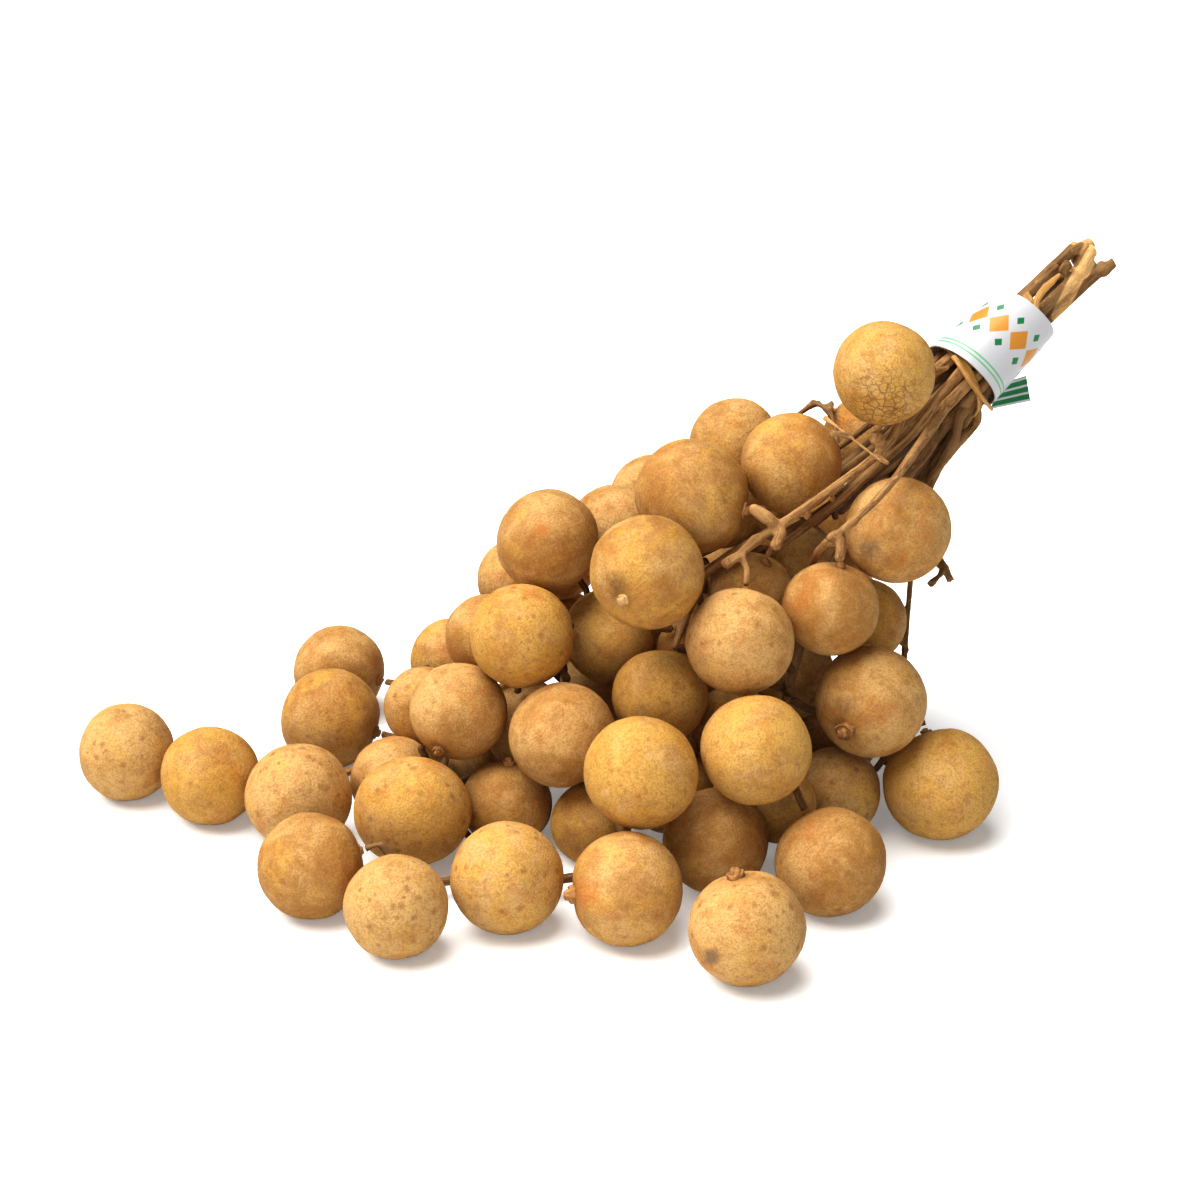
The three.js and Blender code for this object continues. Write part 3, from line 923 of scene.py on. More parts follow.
@dataclass(frozen=True)
class StrawFinish:
    """Dry split straw with fibres along its length."""

    light: Rgba = linear(214, 170, 98)
    dark: Rgba = linear(160, 112, 56)
    fibre_scale: Point = (60.0, 3200.0, 600.0)  # along, across and through the strip
    fibre_in: Fade = Fade(0.35, 0.65)
    patches: Noise = Noise(160.0, 3, 0.55)
    patch_in: Fade = Fade(0.5, 0.7, 0.4)
    relief: Relief = Relief(0.6, 0.25 * MM)
    roughness: tuple[float, float] = (0.5, 0.72)

    def build(self, shared: SharedEffects) -> Material:
        """Build the material.

        Args:
            shared: The shared node groups.

        Returns:
            The straw.
        """
        material, nodes, shader = start_material("tie_straw")
        drawn = nodes.scaled(nodes.vector("strand"), self.fibre_scale)
        grain = nodes.group(shared.grain, Vector=drawn, Scale=1.0).outputs["Grain"]
        body = nodes.coat(self.dark, grain, self.fibre_in, self.light)
        body = nodes.coat(body, nodes.noise(nodes.place(), self.patches), self.patch_in, self.dark)
        nodes.finish(shader, body, grain, self.relief, grain, self.roughness)
        return material


class PrintPlan(Enum):
    """What is printed on a piece of the paper."""

    BAND = "band"
    FLAP = "flap"
    PLAIN = "plain"


@dataclass(frozen=True)
class PaperFinish:
    """White coated paper with a plain print of amber diamonds and green lines."""

    plan: PrintPlan
    white: Rgba = linear(204, 204, 206)
    dusty: Rgba = linear(190, 186, 176)
    amber: Rgba = linear(208, 146, 56)
    green: Rgba = linear(28, 128, 76)
    pale_green: Rgba = linear(120, 186, 140)

    diamonds: float = 9.0  # to each row round the band
    diamond_width: float = 0.341  # how much its way across counts against its way up
    large_row: tuple[float, float] = (0.58, 0.16)  # its middle and its half height up the band
    small_rows: tuple[tuple[float, float], ...] = ((0.4, 0.06), (0.76, 0.06))
    diamond_edge: float = 0.9
    lines: tuple[float, ...] = (0.09, 0.14)
    line_half: float = 0.011
    line_edge: float = 0.8
    stripes: float = 3.4
    stripe_in: Fade = Fade(0.3, 0.34)
    fibre_scale: float = 2600.0
    dusty_share: float = 0.05
    creases: Noise = Noise(130.0, 2, 0.5)
    fibre_height: float = 0.12
    relief: Relief = Relief(0.3, 0.8 * MM)
    roughness: tuple[float, float] = (0.33, 0.46)

    def diamond_row(self, nodes: Nodes, around: Socket, up: Socket,
                    row: tuple[float, float]) -> Socket:
        """Draw a row of diamonds round the band.

        Args:
            nodes: The material's short hand.
            around: The share of the way round.
            up: The share of the way up.
            row: The row's middle and half its height, as shares of the band's height.

        Returns:
            The row's mask.
        """
        middle, half = row
        cell = nodes.math("FRACT", nodes.times(around, self.diamonds))
        across = nodes.times(nodes.math("ABSOLUTE", nodes.minus(cell, 0.5)), self.diamond_width)
        reach = nodes.plus(across, nodes.math("ABSOLUTE", nodes.minus(up, middle)))
        return nodes.step(reach, half, half * self.diamond_edge)

    def line(self, nodes: Nodes, up: Socket, at: float) -> Socket:
        """Draw a thin line at a height, and return its mask."""
        away = nodes.math("ABSOLUTE", nodes.minus(up, at))
        return nodes.step(away, self.line_half, self.line_half * self.line_edge)

    def printed(self, nodes: Nodes) -> object:
        """Draw the print.

        Args:
            nodes: The material's short hand.

        Returns:
            The paper's colour with its print.
        """
        parts = nodes.add("ShaderNodeSeparateXYZ", {0: nodes.vector("chart")})
        turned = nodes.math("ARCTAN2", parts.outputs[1], parts.outputs[0])
        around, up = nodes.math("DIVIDE", turned, 2 * math.pi), parts.outputs[2]
        body = self.white
        if self.plan is PrintPlan.BAND:
            body = nodes.mix(self.diamond_row(nodes, around, up, self.large_row), body, self.amber)
            shifted = nodes.plus(around, 0.5 / self.diamonds)
            for row in self.small_rows:
                body = nodes.mix(self.diamond_row(nodes, shifted, up, row), body, self.green)
            for height in self.lines:
                body = nodes.mix(self.line(nodes, up, height), body, self.pale_green)
        elif self.plan is PrintPlan.FLAP:
            stripe = nodes.math("FRACT", nodes.times(up, self.stripes))
            body = nodes.coat(body, stripe, self.stripe_in, self.green)
        return body

    def build(self, shared: SharedEffects) -> Material:
        """Build the material.

        Args:
            shared: The shared node groups.

        Returns:
            The printed paper.
        """
        material, nodes, shader = start_material(f"label_paper_{self.plan.value}")
        place = nodes.place()
        fibres = nodes.group(shared.grain, Vector=place, Scale=self.fibre_scale)
        grain = fibres.outputs["Grain"]
        dusty = nodes.times(fibres.outputs["Patches"], self.dusty_share)
        body = nodes.mix(dusty, self.printed(nodes), self.dusty)
        height = nodes.plus(nodes.noise(place, self.creases), nodes.times(grain, self.fibre_height))
        nodes.finish(shader, body, height, self.relief, grain, self.roughness)
        return material


# The fruit.


class MarkKind(Enum):
    """A kind of mark on a fruit's skin, by the attribute that holds it."""

    RUST = "rust_mark"
    GREY = "grey_mark"
    PALE = "pale_mark"
    DARK = "dark_mark"
    CRACKS = "crack_mark"


@dataclass(frozen=True)
class SkinMark:
    """A mark on one fruit, by where it is seen."""

    fruit: int
    kind: MarkKind
    at: Pixel
    reach: float  # in pixels
    strength: float = 1.0


SKIN_MARKS = (
    SkinMark(21, MarkKind.DARK, (724, 499), 13, 0.4),
    SkinMark(22, MarkKind.PALE, (622, 600), 6),
    SkinMark(22, MarkKind.DARK, (617, 583), 17, 0.5),
    SkinMark(22, MarkKind.RUST, (636, 592), 18, 0.3),
    SkinMark(42, MarkKind.GREY, (712, 957), 10, 0.9),
    SkinMark(42, MarkKind.RUST, (745, 876), 24, 0.3),
    SkinMark(36, MarkKind.RUST, (852, 722), 20, 0.4),
    SkinMark(36, MarkKind.GREY, (846, 706), 14, 0.5),
    SkinMark(41, MarkKind.RUST, (586, 893), 22, 0.6),
    SkinMark(18, MarkKind.RUST, (541, 530), 10, 0.7),
    SkinMark(26, MarkKind.GREY, (868, 548), 16, 0.6),
    SkinMark(26, MarkKind.GREY, (872, 508), 10, 0.5),
    SkinMark(25, MarkKind.CRACKS, (884, 412), 46, 0.9),
    SkinMark(24, MarkKind.CRACKS, (800, 490), 34, 0.45),
    SkinMark(34, MarkKind.PALE, (606, 792), 7, 0.55),
    SkinMark(34, MarkKind.PALE, (622, 810), 8, 0.5),
    SkinMark(39, MarkKind.DARK, (782, 832), 8, 0.4),
)

LIGHT_FRUIT = (1, 3, 7, 10, 25, 28, 37, 38, 42)
GOLDEN_FRUIT = (2, 8, 16, 25, 30, 31, 32, 34, 35, 37, 43)
SPOTTED_FRUIT = (1, 3, 5, 7, 8, 10, 13, 16, 28, 38, 39, 42)
REDDISH_FRUIT = (5, 6, 21, 24, 29, 39)


# The middles and radii, in millimetres, of fruit deep in the heap that have no solid of their own
INNER_FRUIT = (
    ((31.5, 25.5, 14.9), 13.2),
    ((-11.1, 75.2, 47.7), 12.4),
    ((-17.9, 17.4, 22.9), 12.3),
    ((1.4, 39.8, 24.9), 11.3),
    ((40.3, 66.4, 50.0), 13.1),
    ((56.0, 76.0, 61.0), 11.3),
    ((19.9, -2.0, 14.4), 12.0),
    ((69.0, 75.2, 34.0), 12.4),
    ((36.9, 6.1, 29.0), 11.2),
    ((26.6, 23.4, 43.4), 10.1),
    ((49.2, -13.0, 15.1), 9.8),
    ((-34.6, 23.4, 11.3), 7.6),
    ((34.9, 40.1, 77.6), 10.6),
    ((42.8, 55.4, 67.7), 8.4),
    ((-9.2, 76.3, 24.6), 11.3),
    ((-42.7, 40.6, 9.4), 8.8),
)

STALK_SIZES = {21: 1.25, 22: 0.8, 36: 1.5, 41: 1.35, 42: 1.35}
PALE_STALKS = (22,)


@dataclass(frozen=True)
class Oval:
    """How a fruit is drawn out, seen in the picture."""

    turn: float  # in degrees from the right, upwards
    stretch: float


OVAL_FRUIT = {6: Oval(20, 1.04), 8: Oval(0, 1.08), 21: Oval(-30, 1.06)}


@dataclass(frozen=True)
class FruitFit:
    """Where a fruit's solid is: its middle, the way to its stalk, and its sizes."""

    middle: Vector
    way: Vector
    radius: float
    height: float
    broken: bool


@dataclass(frozen=True)
class BallShape:
    """The unit ball that the fruit are copied from, sunk round its stalk."""

    segments: int = 64
    rings: int = 42
    pole: float = 0.999  # points higher than this are the stalk's end
    dimple: float = 0.05
    dimple_reach: float = 0.62
    shoulder: tuple[float, float] = (0.42, 0.75)  # points past these to the side and upwards
    shoulder_move: Point = (0.012, 0, 0.02)
    shoulder_reach: float = 0.7

    def build(self) -> Piece:
        """Model the ball.

        Returns:
            The ball, with its stalk's end up.
        """
        deselect()
        bpy.ops.mesh.primitive_uv_sphere_add(segments=self.segments, ring_count=self.rings, radius=1)
        ball = made("longan_master")
        side, high = self.shoulder
        for wanted, move, reach in (
            (lambda point: point.co.z > self.pole, (0, 0, -self.dimple), self.dimple_reach),
            (lambda point: point.co.x > side and point.co.z > high, self.shoulder_move,
             self.shoulder_reach),
        ):
            open_parts(ball, Part.VERT, wanted)
            bpy.ops.transform.translate(
                value=move, use_proportional_edit=True,
                proportional_edit_falloff="SMOOTH", proportional_size=reach,
            )
            close_mesh()
        return ball


@dataclass(frozen=True)
class RingShape:
    """The dry ring of bark at a stalk's end, with ragged lobes."""

    sides: int = 20
    radius: float = 1.75 * MM
    height: float = 1.5 * MM
    middle: float = 0.1 * MM
    top: float = 0.8 * MM
    rim: float = 0.45 * MM
    sink: float = 0.25 * MM
    step: float = 0.28 * MM
    stub: float = 0.75 * MM
    stub_flare: Point = (1.1, 1.1, 1)
    lobes: int = 5
    lobe_above: float = 0.5 * MM
    lobe_beyond: float = 1.5 * MM
    lobe_cut: float = 0.3
    lobe_flare: Point = (1.22, 1.22, 1.35)

    def in_lobe(self, place: Vector) -> bool:
        """Tell whether a place is on the outer rim of a lobe."""
        turned = math.cos(self.lobes * math.atan2(place.y, place.x))
        return place.z > self.lobe_above and place.xy.length > self.lobe_beyond and turned > self.lobe_cut

    def build(self) -> Piece:
        """Model the ring.

        Returns:
            The ring, its foot at the origin and its stalk upwards.
        """
        deselect()
        bpy.ops.mesh.primitive_cylinder_add(vertices=self.sides, radius=self.radius,
                                            depth=self.height, location=(0, 0, self.middle))
        ring = made("stalk_ring")
        bpy.ops.object.transform_apply(location=True, rotation=True, scale=True)
        open_parts(ring, Part.FACE, lambda face: face.center.z > self.top)
        bpy.ops.mesh.inset(thickness=self.rim)
        bpy.ops.transform.translate(value=(0, 0, -self.sink))
        bpy.ops.mesh.inset(thickness=self.step)
        bpy.ops.mesh.extrude_region_move(TRANSFORM_OT_translate={"value": (0, 0, self.stub)})
        bpy.ops.transform.resize(value=self.stub_flare)
        close_mesh()
        open_parts(ring, Part.VERT, lambda point: self.in_lobe(point.co))
        bpy.ops.transform.resize(value=self.lobe_flare)
        close_mesh()
        finish_with(ring, "SUBSURF", levels=1, render_levels=1)
        return ring


@dataclass
class FruitMasters:
    """The shapes that the fruit are copied from, built once."""

    ball: Piece = field(default_factory=lambda: BallShape().build())
    inner_ball: Piece = field(default_factory=lambda: BallShape(segments=42, rings=28).build())
    ring: Piece = field(default_factory=lambda: RingShape().build())

    def clear(self) -> None:
        """Take the masters out of the scene."""
        for master in (self.ball, self.inner_ball, self.ring):
            bpy.data.objects.remove(master)


@dataclass(frozen=True)
class SkinTones:
    """How light, golden and spotted the fruit are."""

    light: float = 0.55
    reddish: float = 0.05
    lightness: tuple[float, float] = (0.08, 0.4)
    golden: float = 0.22
    warmths: tuple[float, float] = (-0.06, 0.12)
    spotted: float = 0.66
    plain: float = 0.36

    def tone(self, number: int, chance: random.Random) -> float:
        """Choose how light a fruit's skin is.

        Args:
            number: The fruit's number.
            chance: Its own random numbers.

        Returns:
            Its lightness, from 0 to 1.
        """
        if number in LIGHT_FRUIT:
            return self.light
        return self.reddish if number in REDDISH_FRUIT else chance.uniform(*self.lightness)

    def warmth(self, number: int, chance: random.Random) -> float:
        """Return how golden a fruit's skin is."""
        return self.golden if number in GOLDEN_FRUIT else chance.uniform(*self.warmths)

    def spotty(self, number: int) -> float:
        """Return how strong a fruit's spots are."""
        return self.spotted if number in SPOTTED_FRUIT else self.plain


@dataclass
class Longan:
    """One fruit: a shell of skin with the dry ring of its stalk."""

    number: int
    place: Optional[FruitFit] = None  # for a fruit without a solid
    first_seed: int = 400
    height: float = 0.965  # along the stalk, against the width
    fit_rounds: int = 12
    near: float = 2.9 * MM  # a solid's points that have this many others this near are its ring's
    near_count: int = 8
    decimals: int = 6  # a solid's points that agree to these are one point
    broken_above: float = 1.6 * MM
    above_table: float = 0.05 * MM
    floor: float = 0.02 * MM
    pole_height: float = 0.97
    least_width: float = 1e-4  # of the level through a point, so that a pole has one too
    wrinkles_round: float = 7.0
    wrinkles_along: float = 3.0
    tones: SkinTones = SkinTones()
    lumps: Roughness = Roughness("fruit_lumps", 11 * MM, 0.75 * MM)
    pits: Roughness = Roughness("fruit_pits", 2.6 * MM, 0.16 * MM)
    crumple: Roughness = Roughness("ring_crumple", 1.1 * MM, 0.9 * MM)
    ring_sizes: tuple[float, float] = (0.9, 1.15)
    ring_narrowest: float = 0.85
    ring_height: float = 1.25
    broken_height: float = 1.5
    mark_edge: float = 1.35

    @property
    def node(self) -> str:
        """Return the name of the fruit's solid."""
        return f"longan_{self.number:02d}"

    def fit(self) -> FruitFit:
        """Measure the fruit's solid.

        Returns:
            Its middle, stalk's way, radius and height.
        """
        if self.place:
            return self.place
        points = np.unique(positions(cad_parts[self.node].data).round(self.decimals), axis=0)
        apart = np.linalg.norm(points[:, None] - points[None], axis=2)
        in_ring = (apart < self.near).sum(axis=1) > self.near_count
        ring = points[in_ring].mean(axis=0)
        skin = points[~in_ring & (points[:, 2] > self.above_table)]
        middle, way = skin.mean(axis=0), np.zeros(3)
        for _ in range(self.fit_rounds):
            way = (ring - middle) / np.linalg.norm(ring - middle)
            along = (skin - middle) @ way
            round_skin = skin + np.outer(along * (1 / self.height - 1), way)
            terms = np.c_[2 * round_skin, np.ones(len(skin))]
            found = np.linalg.lstsq(terms, (round_skin**2).sum(axis=1), rcond=None)[0]
            middle = found[:3]
        radius = math.sqrt(found[3] + middle @ middle)
        reach = ((points[in_ring] - middle) @ way).max()
        broken = reach - radius * self.height > self.broken_above
        return FruitFit(Vector(middle), Vector(way), radius, self.height, broken)

    def build(self, masters: FruitMasters, materials: Sequence[Material]) -> Piece:
        """Build the fruit in its place.

        Args:
            masters: The masters of the ball and the ring.
            materials: The finishes of the skin and the ring.

        Returns:
            The finished piece.
        """
        chance = random.Random(self.first_seed + self.number)
        fit = self.fit()
        turn = fit.way.to_track_quat("Z", "Y").to_matrix().to_4x4()
        spin = Matrix.Rotation(chance.uniform(0, 2 * math.pi), 4, "Z")
        size = Matrix.Diagonal((fit.radius, fit.radius, fit.radius * fit.height, 1))
        ball = masters.inner_ball if self.place else masters.ball
        skin = link_mesh(f"longan_skin_{self.number:02d}", ball.data.copy())
        self.chart(skin)
        skin.data.transform(Matrix.Translation(fit.middle) @ self.drawn_out() @ turn @ size @ spin)
        skin.data.materials.append(materials[0])
        self.lumps.press(skin)
        self.pits.press(skin)
        note(skin.data, "tone", self.tones.tone(self.number, chance))
        note(skin.data, "warmth", self.tones.warmth(self.number, chance))
        note(skin.data, "spotty", self.tones.spotty(self.number))
        self.mark(skin)
        self.set_down(skin)
        soften(skin)
        ring = self.place_ring(masters.ring, fit, turn, chance, materials[1])
        piece = join([skin, ring])
        hang(piece, "longan_skin", *(() if self.place else (self.node,)))
        return piece

    def chart(self, skin: Piece) -> None:
        """Keep how far each point is from the stalk, and the way round the fruit.

        Args:
            skin: The fruit's shell, still a unit ball.
        """
        unit = positions(skin.data)
        pole = np.arccos(np.clip(unit[:, 2] / self.pole_height, -1, 1)) / math.pi
        width = np.maximum(np.linalg.norm(unit[:, :2], axis=1), self.least_width)
        level = unit[:, :2] / width[:, None]
        note(skin.data, "pole", pole)
        note(skin.data, "ray", np.c_[level * self.wrinkles_round, pole * self.wrinkles_along])

    def drawn_out(self) -> Matrix:
        """Work out how the fruit is drawn out.

        Returns:
            The scaling that makes it oval in the picture.
        """
        oval = OVAL_FRUIT.get(self.number, Oval(0, 1))
        turn = math.radians(oval.turn)
        return Matrix.Scale(oval.stretch, 4, RIGHT * math.cos(turn) + VIEW.upward * math.sin(turn))

    def mark(self, skin: Piece) -> None:
        """Keep the fruit's marks in its mesh.

        Args:
            skin: The fruit's shell.
        """
        places = positions(skin.data)
        seen, shown = VIEW.seen(places), VIEW.facing(places, normals(skin.data)) > 0
        for kind in MarkKind:
            weight = np.zeros(len(places))
            for mark in SKIN_MARKS:
                if mark.fruit == self.number and mark.kind is kind:
                    away = np.linalg.norm(seen - np.array(mark.at), axis=1) / mark.reach
                    soft = np.clip(self.mark_edge - away, 0, 1) * mark.strength
                    weight = np.maximum(weight, np.where(shown, soft, 0))
            note(skin.data, kind.value, weight)

    def set_down(self, skin: Piece) -> None:
        """Cut a fruit that lies on the table flat at the table's height.

        Args:
            skin: The fruit's shell.
        """
        if positions(skin.data)[:, 2].min() > self.floor:
            return
        open_mesh(skin)
        bpy.ops.mesh.bisect(plane_co=(0, 0, self.floor), plane_no=(0, 0, 1), use_fill=True,
                            clear_inner=True)
        close_mesh()

    def place_ring(self, master: Piece, fit: FruitFit, turn: Matrix, chance: random.Random,
                   material: Material) -> Piece:
        """Copy the dry ring to the fruit's stalk end.

        Args:
            master: The ring's master.
            fit: The fruit's place.
            turn: The turn that takes Z to the stalk's way.
            chance: The fruit's own random numbers.
            material: The ring's finish.

        Returns:
            The ring.
        """
        ring = link_mesh(f"ring_{self.number:02d}", master.data.copy())
        foot = fit.middle + fit.way * (fit.radius * fit.height * (1 - BallShape.dimple))
        size = chance.uniform(*self.ring_sizes) * STALK_SIZES.get(self.number, 1)
        narrow = chance.uniform(self.ring_narrowest, 1)
        tall = self.broken_height if fit.broken else self.ring_height
        shape = Matrix.Diagonal((size, size * narrow, size * tall, 1))
        spin = Matrix.Rotation(chance.uniform(0, 2 * math.pi), 4, "Z")
        ring.data.transform(Matrix.Translation(foot) @ turn @ spin @ shape)
        note(ring.data, "round", normals(ring.data))
        note(ring.data, "bare", float(self.number in PALE_STALKS))
        self.crumple.press(ring)
        ring.data.materials.append(material)
        soften(ring, angle=80)
        return ring


# The bundle of stems.


@dataclass(frozen=True)
class Bundle:
    """The line of the bundle of stems, and places round it."""

    foot: Vector = Vector((86.89, 44.73, 103)) * MM
    along: Vector = Vector((0.711, 0.483, 0.503)).normalized()
    spread: float = 0.085
    top: float = 41.5 * MM

    @property
    def front(self) -> Vector:
        """Return the way from the line that faces the camera."""
        away = -VIEW.forward
        return (away - self.along * away.dot(self.along)).normalized()

    @property
    def side(self) -> Vector:
        """Return the way from the line that is the lower right in the picture."""
        return self.along.cross(self.front).normalized()

    def spread_at(self, mark: float) -> float:
        """Return how much further out everything stands at a mark."""
        return self.spread * max(0.0, self.top - mark)

    def chart(self, places: np.ndarray) -> tuple[np.ndarray, np.ndarray, np.ndarray]:
        """Find places in the bundle's own terms.

        Args:
            places: Places, one in each row.

        Returns:
            The marks along the line, the angles round it and the distances from it.
        """
        away = places - np.array(self.foot)
        mark = away @ np.array(self.along)
        front, side = away @ np.array(self.front), away @ np.array(self.side)
        return mark, np.arctan2(side, front), np.hypot(side, front)

    def at(self, mark: float, angle: float, away: float) -> Vector:
        """Return the point at a mark, at an angle round the line and a distance from it."""
        return self.foot + self.along * mark + Vector(self.outward(np.array([angle]))[0]) * away

    def outward(self, angles: np.ndarray) -> np.ndarray:
        """Return the ways out from the line at angles round it, one in each row."""
        return (np.cos(angles)[:, None] * np.array(self.front)
                + np.sin(angles)[:, None] * np.array(self.side))

    def seen_on(self, pixel: Pixel, away: float) -> Vector:
        """Find the point at a distance from the line that is seen at a pixel.

        Args:
            pixel: The pixel.
            away: The distance from the bundle's line.

        Returns:
            The nearer of the points, or the closest one where the ray misses.
        """
        ray = VIEW.ray(pixel)
        start = VIEW.eye - self.foot
        flat_ray = ray - self.along * ray.dot(self.along)
        flat_start = start - self.along * start.dot(self.along)
        half = flat_ray.dot(flat_start) / flat_ray.length_squared
        rest = (flat_start.length_squared - away * away) / flat_ray.length_squared
        return VIEW.eye + ray * (-half - math.sqrt(max(half * half - rest, 0.0)))

    def matrix(self, mark: float) -> Matrix:
        """Return the frame at a mark: X to the front, Y to the side, Z along the line."""
        turn = Matrix((self.front, self.side, self.along)).transposed().to_4x4()
        return Matrix.Translation(self.foot + self.along * mark) @ turn


BUNDLE = Bundle()


# The stems.


BARK_LOSS = 1.12  # a skin round a line of points comes out this much too thin


def grow(name: str, route: Sequence[Vector], radii: Sequence[float]) -> Piece:
    """Grow a round stem along a route: one point drawn out along it and given a skin.

    Args:
        name: The stem's name.
        route: The points it runs through.
        radii: Its radius at each point.

    Returns:
        The stem as a closed mesh.
    """
    deselect()
    bpy.ops.mesh.primitive_plane_add(size=1 * MM)
    stem = made(name)
    open_mesh(stem)
    bpy.ops.mesh.merge(type="CENTER")
    bpy.ops.transform.translate(value=route[0])
    for before, after in zip(route, route[1:]):
        bpy.ops.mesh.extrude_vertices_move(TRANSFORM_OT_translate={"value": after - before})
    close_mesh()
    stem.modifiers.new("skin", "SKIN")
    for point, radius in zip(stem.data.skin_vertices[0].data, radii):
        point.radius = (radius * BARK_LOSS,) * 2
    stem.data.skin_vertices[0].data[0].use_root = True
    pick(stem)
    bpy.ops.object.modifier_apply(modifier="skin")
    finish_with(stem, "SUBSURF", levels=2, render_levels=2)
    return stem


@dataclass(frozen=True)
class Sprig:
    """A knob, stub or short twig on a spray, by where it is seen."""

    spray: str
    route: tuple[Point, ...]  # pixel across and down, and millimetres nearer
    radii: tuple[float, ...]  # in millimetres
    sink: float = 0.8 * MM

    def build(self, tree: BVHTree) -> Piece:
        """Build it on the spray's surface.

        Args:
            tree: The spray's surface.

        Returns:
            The sprig.
        """
        depth = VIEW.reach(self.route[0][:2], tree) + self.sink
        route = [VIEW.eye + VIEW.ray((across, down)) * (depth - nearer * MM)
                 for across, down, nearer in self.route]
        return grow("sprig", route, [radius * MM for radius in self.radii])


@dataclass(frozen=True)
class SideStem:
    """A stem of the bundle that runs down beside the main ones."""

    spray: str
    angle: float  # in degrees round the bundle
    away: float  # in millimetres from the bundle's line
    route: tuple[Point, ...]  # pixel across and down, and height in millimetres
    radii: tuple[float, float] = (1.9, 1.5)
    # how dark its bark is drawn: partly age, partly painted shade for a stem that lies in shadow
    aged: float = 0.6
    marks: tuple[float, ...] = (27, 21, 15)  # in millimetres along the bundle, inside the band
    lean: float = 0.25

    def build(self) -> Piece:
        """Build it.

        Returns:
            The stem.
        """
        angle = math.radians(self.angle)
        slope = self.lean * (self.away - self.radii[0]) / self.marks[0]
        route = [BUNDLE.at(mark * MM, angle, (self.away - slope * (mark - self.marks[-1])) * MM)
                 for mark in self.marks]
        route += [VIEW.at_height(*point) for point in self.route]
        radii = np.linspace(self.radii[0], self.radii[1], len(route)) * MM
        return grow("side_stem", route, list(radii))


SPRIGS = (
    Sprig("spray_upper_stem", ((834, 494, 0), (831, 504, 0)), (1.2, 0.7)),
    Sprig("spray_upper_stem", ((810, 510, 0), (805, 521, 0)), (1.3, 0.8)),
    Sprig("spray_upper_stem", ((884, 443, 0), (877, 438, 2), (871, 436, 3.5)), (1.4, 2.0, 2.6)),
    Sprig("spray_upper_stem", ((896, 442, 0), (886, 438, 2)), (1.8, 1.9)),
    Sprig("spray_upper_stem", ((946, 392, 0), (949, 401, 1)), (1.9, 1.4)),
    Sprig("spray_upper_stem", ((779, 526, 0), (767, 518, 0.4), (757, 511, 0.4), (748, 506, 0)),
          (1.3, 1.5, 1.7, 2.1)),
    Sprig("spray_upper_stem", ((784, 527, 0), (778, 540, 1), (773, 551, 2)), (1.4, 1.8, 1.5)),
    Sprig("spray_outer_stem", ((898, 479, 0), (897, 475, 2.2)), (1.2, 1.0)),
    Sprig("spray_outer_stem", ((926, 437, 0), (931, 438, 0)), (0.9, 0.6)),
    Sprig("spray_outer_stem", ((839, 532, 0), (826, 541, 0)), (1.3, 1.3)),
    Sprig("spray_outer_stem", ((841, 536, 0), (841, 549, 1), (839, 563, 1)), (1.4, 1.6, 1.5)),
    Sprig("spray_side_stem", ((905, 611, 0), (900, 608, 0)), (0.9, 0.8)),
    Sprig("spray_side_stem", ((1099, 276, 0), (1110, 266, 0), (1122, 254, 0)), (1.8, 1.8, 1.7)),
    Sprig("spray_outer_stem", ((1078, 279, 0), (1087, 261, 0), (1096, 243, 0)), (2.1, 2.0, 1.9)),
    Sprig("spray_front_stem", ((1072, 266, 0), (1083, 252, 0), (1094, 238, 0)), (2.1, 2.1, 1.9)),
    Sprig("spray_upper_stem", ((1070, 255, 0), (1080, 247, 0), (1091, 241, 0)), (1.9, 1.9, 1.5)),
    Sprig("spray_outer_stem", ((1058, 275, 0), (1066, 266, 1), (1071, 260, 1)), (1.7, 1.9, 1.4)),
)

SIDE_STEMS = (
    SideStem("spray_outer_stem", 48, 8.0, ((951, 420, 99), (925, 452, 93), (897, 492, 84), (872, 520, 76)),
             aged=0.3),
    SideStem("spray_side_stem", 70, 8.2, ((960, 428, 97), (935, 462, 90), (908, 500, 80), (890, 530, 72)),
             aged=0.7),
    SideStem("spray_side_stem", 98, 8.6, ((977, 421, 98), (955, 446, 94), (931, 477, 87), (916, 505, 76)),
             aged=0.45),
    SideStem("spray_front_stem", 140, 7.6, ((905, 443, 93), (868, 478, 86), (832, 508, 78), (800, 535, 70)),
             aged=0.8),
    SideStem("spray_ridge_stem", -100, 7.6, ((918, 408, 103), (880, 444, 97), (846, 470, 90),
                                             (806, 502, 80)), aged=0.5),
    SideStem("spray_tip_stem", -8, 7.8, ((912, 434, 99), (876, 468, 92), (838, 502, 85), (800, 530, 77),
                                         (765, 556, 68)), aged=0.05),
    SideStem("spray_ridge_stem", 180, 5.4, ((943, 395, 99), (912, 441, 92), (872, 472, 84),
                                            (830, 503, 76)), (2.3, 2.0), 0.85),
    SideStem("spray_side_stem", 150, 6.0, ((956, 412, 95), (929, 442, 89), (902, 472, 82),
                                           (868, 506, 74)), (2.3, 2.0), 0.85),
    SideStem("spray_side_stem", 120, 6.4, ((962, 420, 96), (938, 452, 91), (916, 480, 85),
                                           (893, 512, 77)), (2.2, 2.0), 0.7),
    SideStem("spray_front_stem", -170, 5.5, ((925, 400, 99), (893, 445, 90), (862, 488, 80),
                                             (835, 515, 73)), (2.2, 2.0), 0.85),
    SideStem("spray_ridge_stem", -150, 6.4, ((930, 385, 104), (893, 422, 98), (853, 460, 90),
                                             (813, 494, 82)), (2.1, 1.8), 0.8),
)


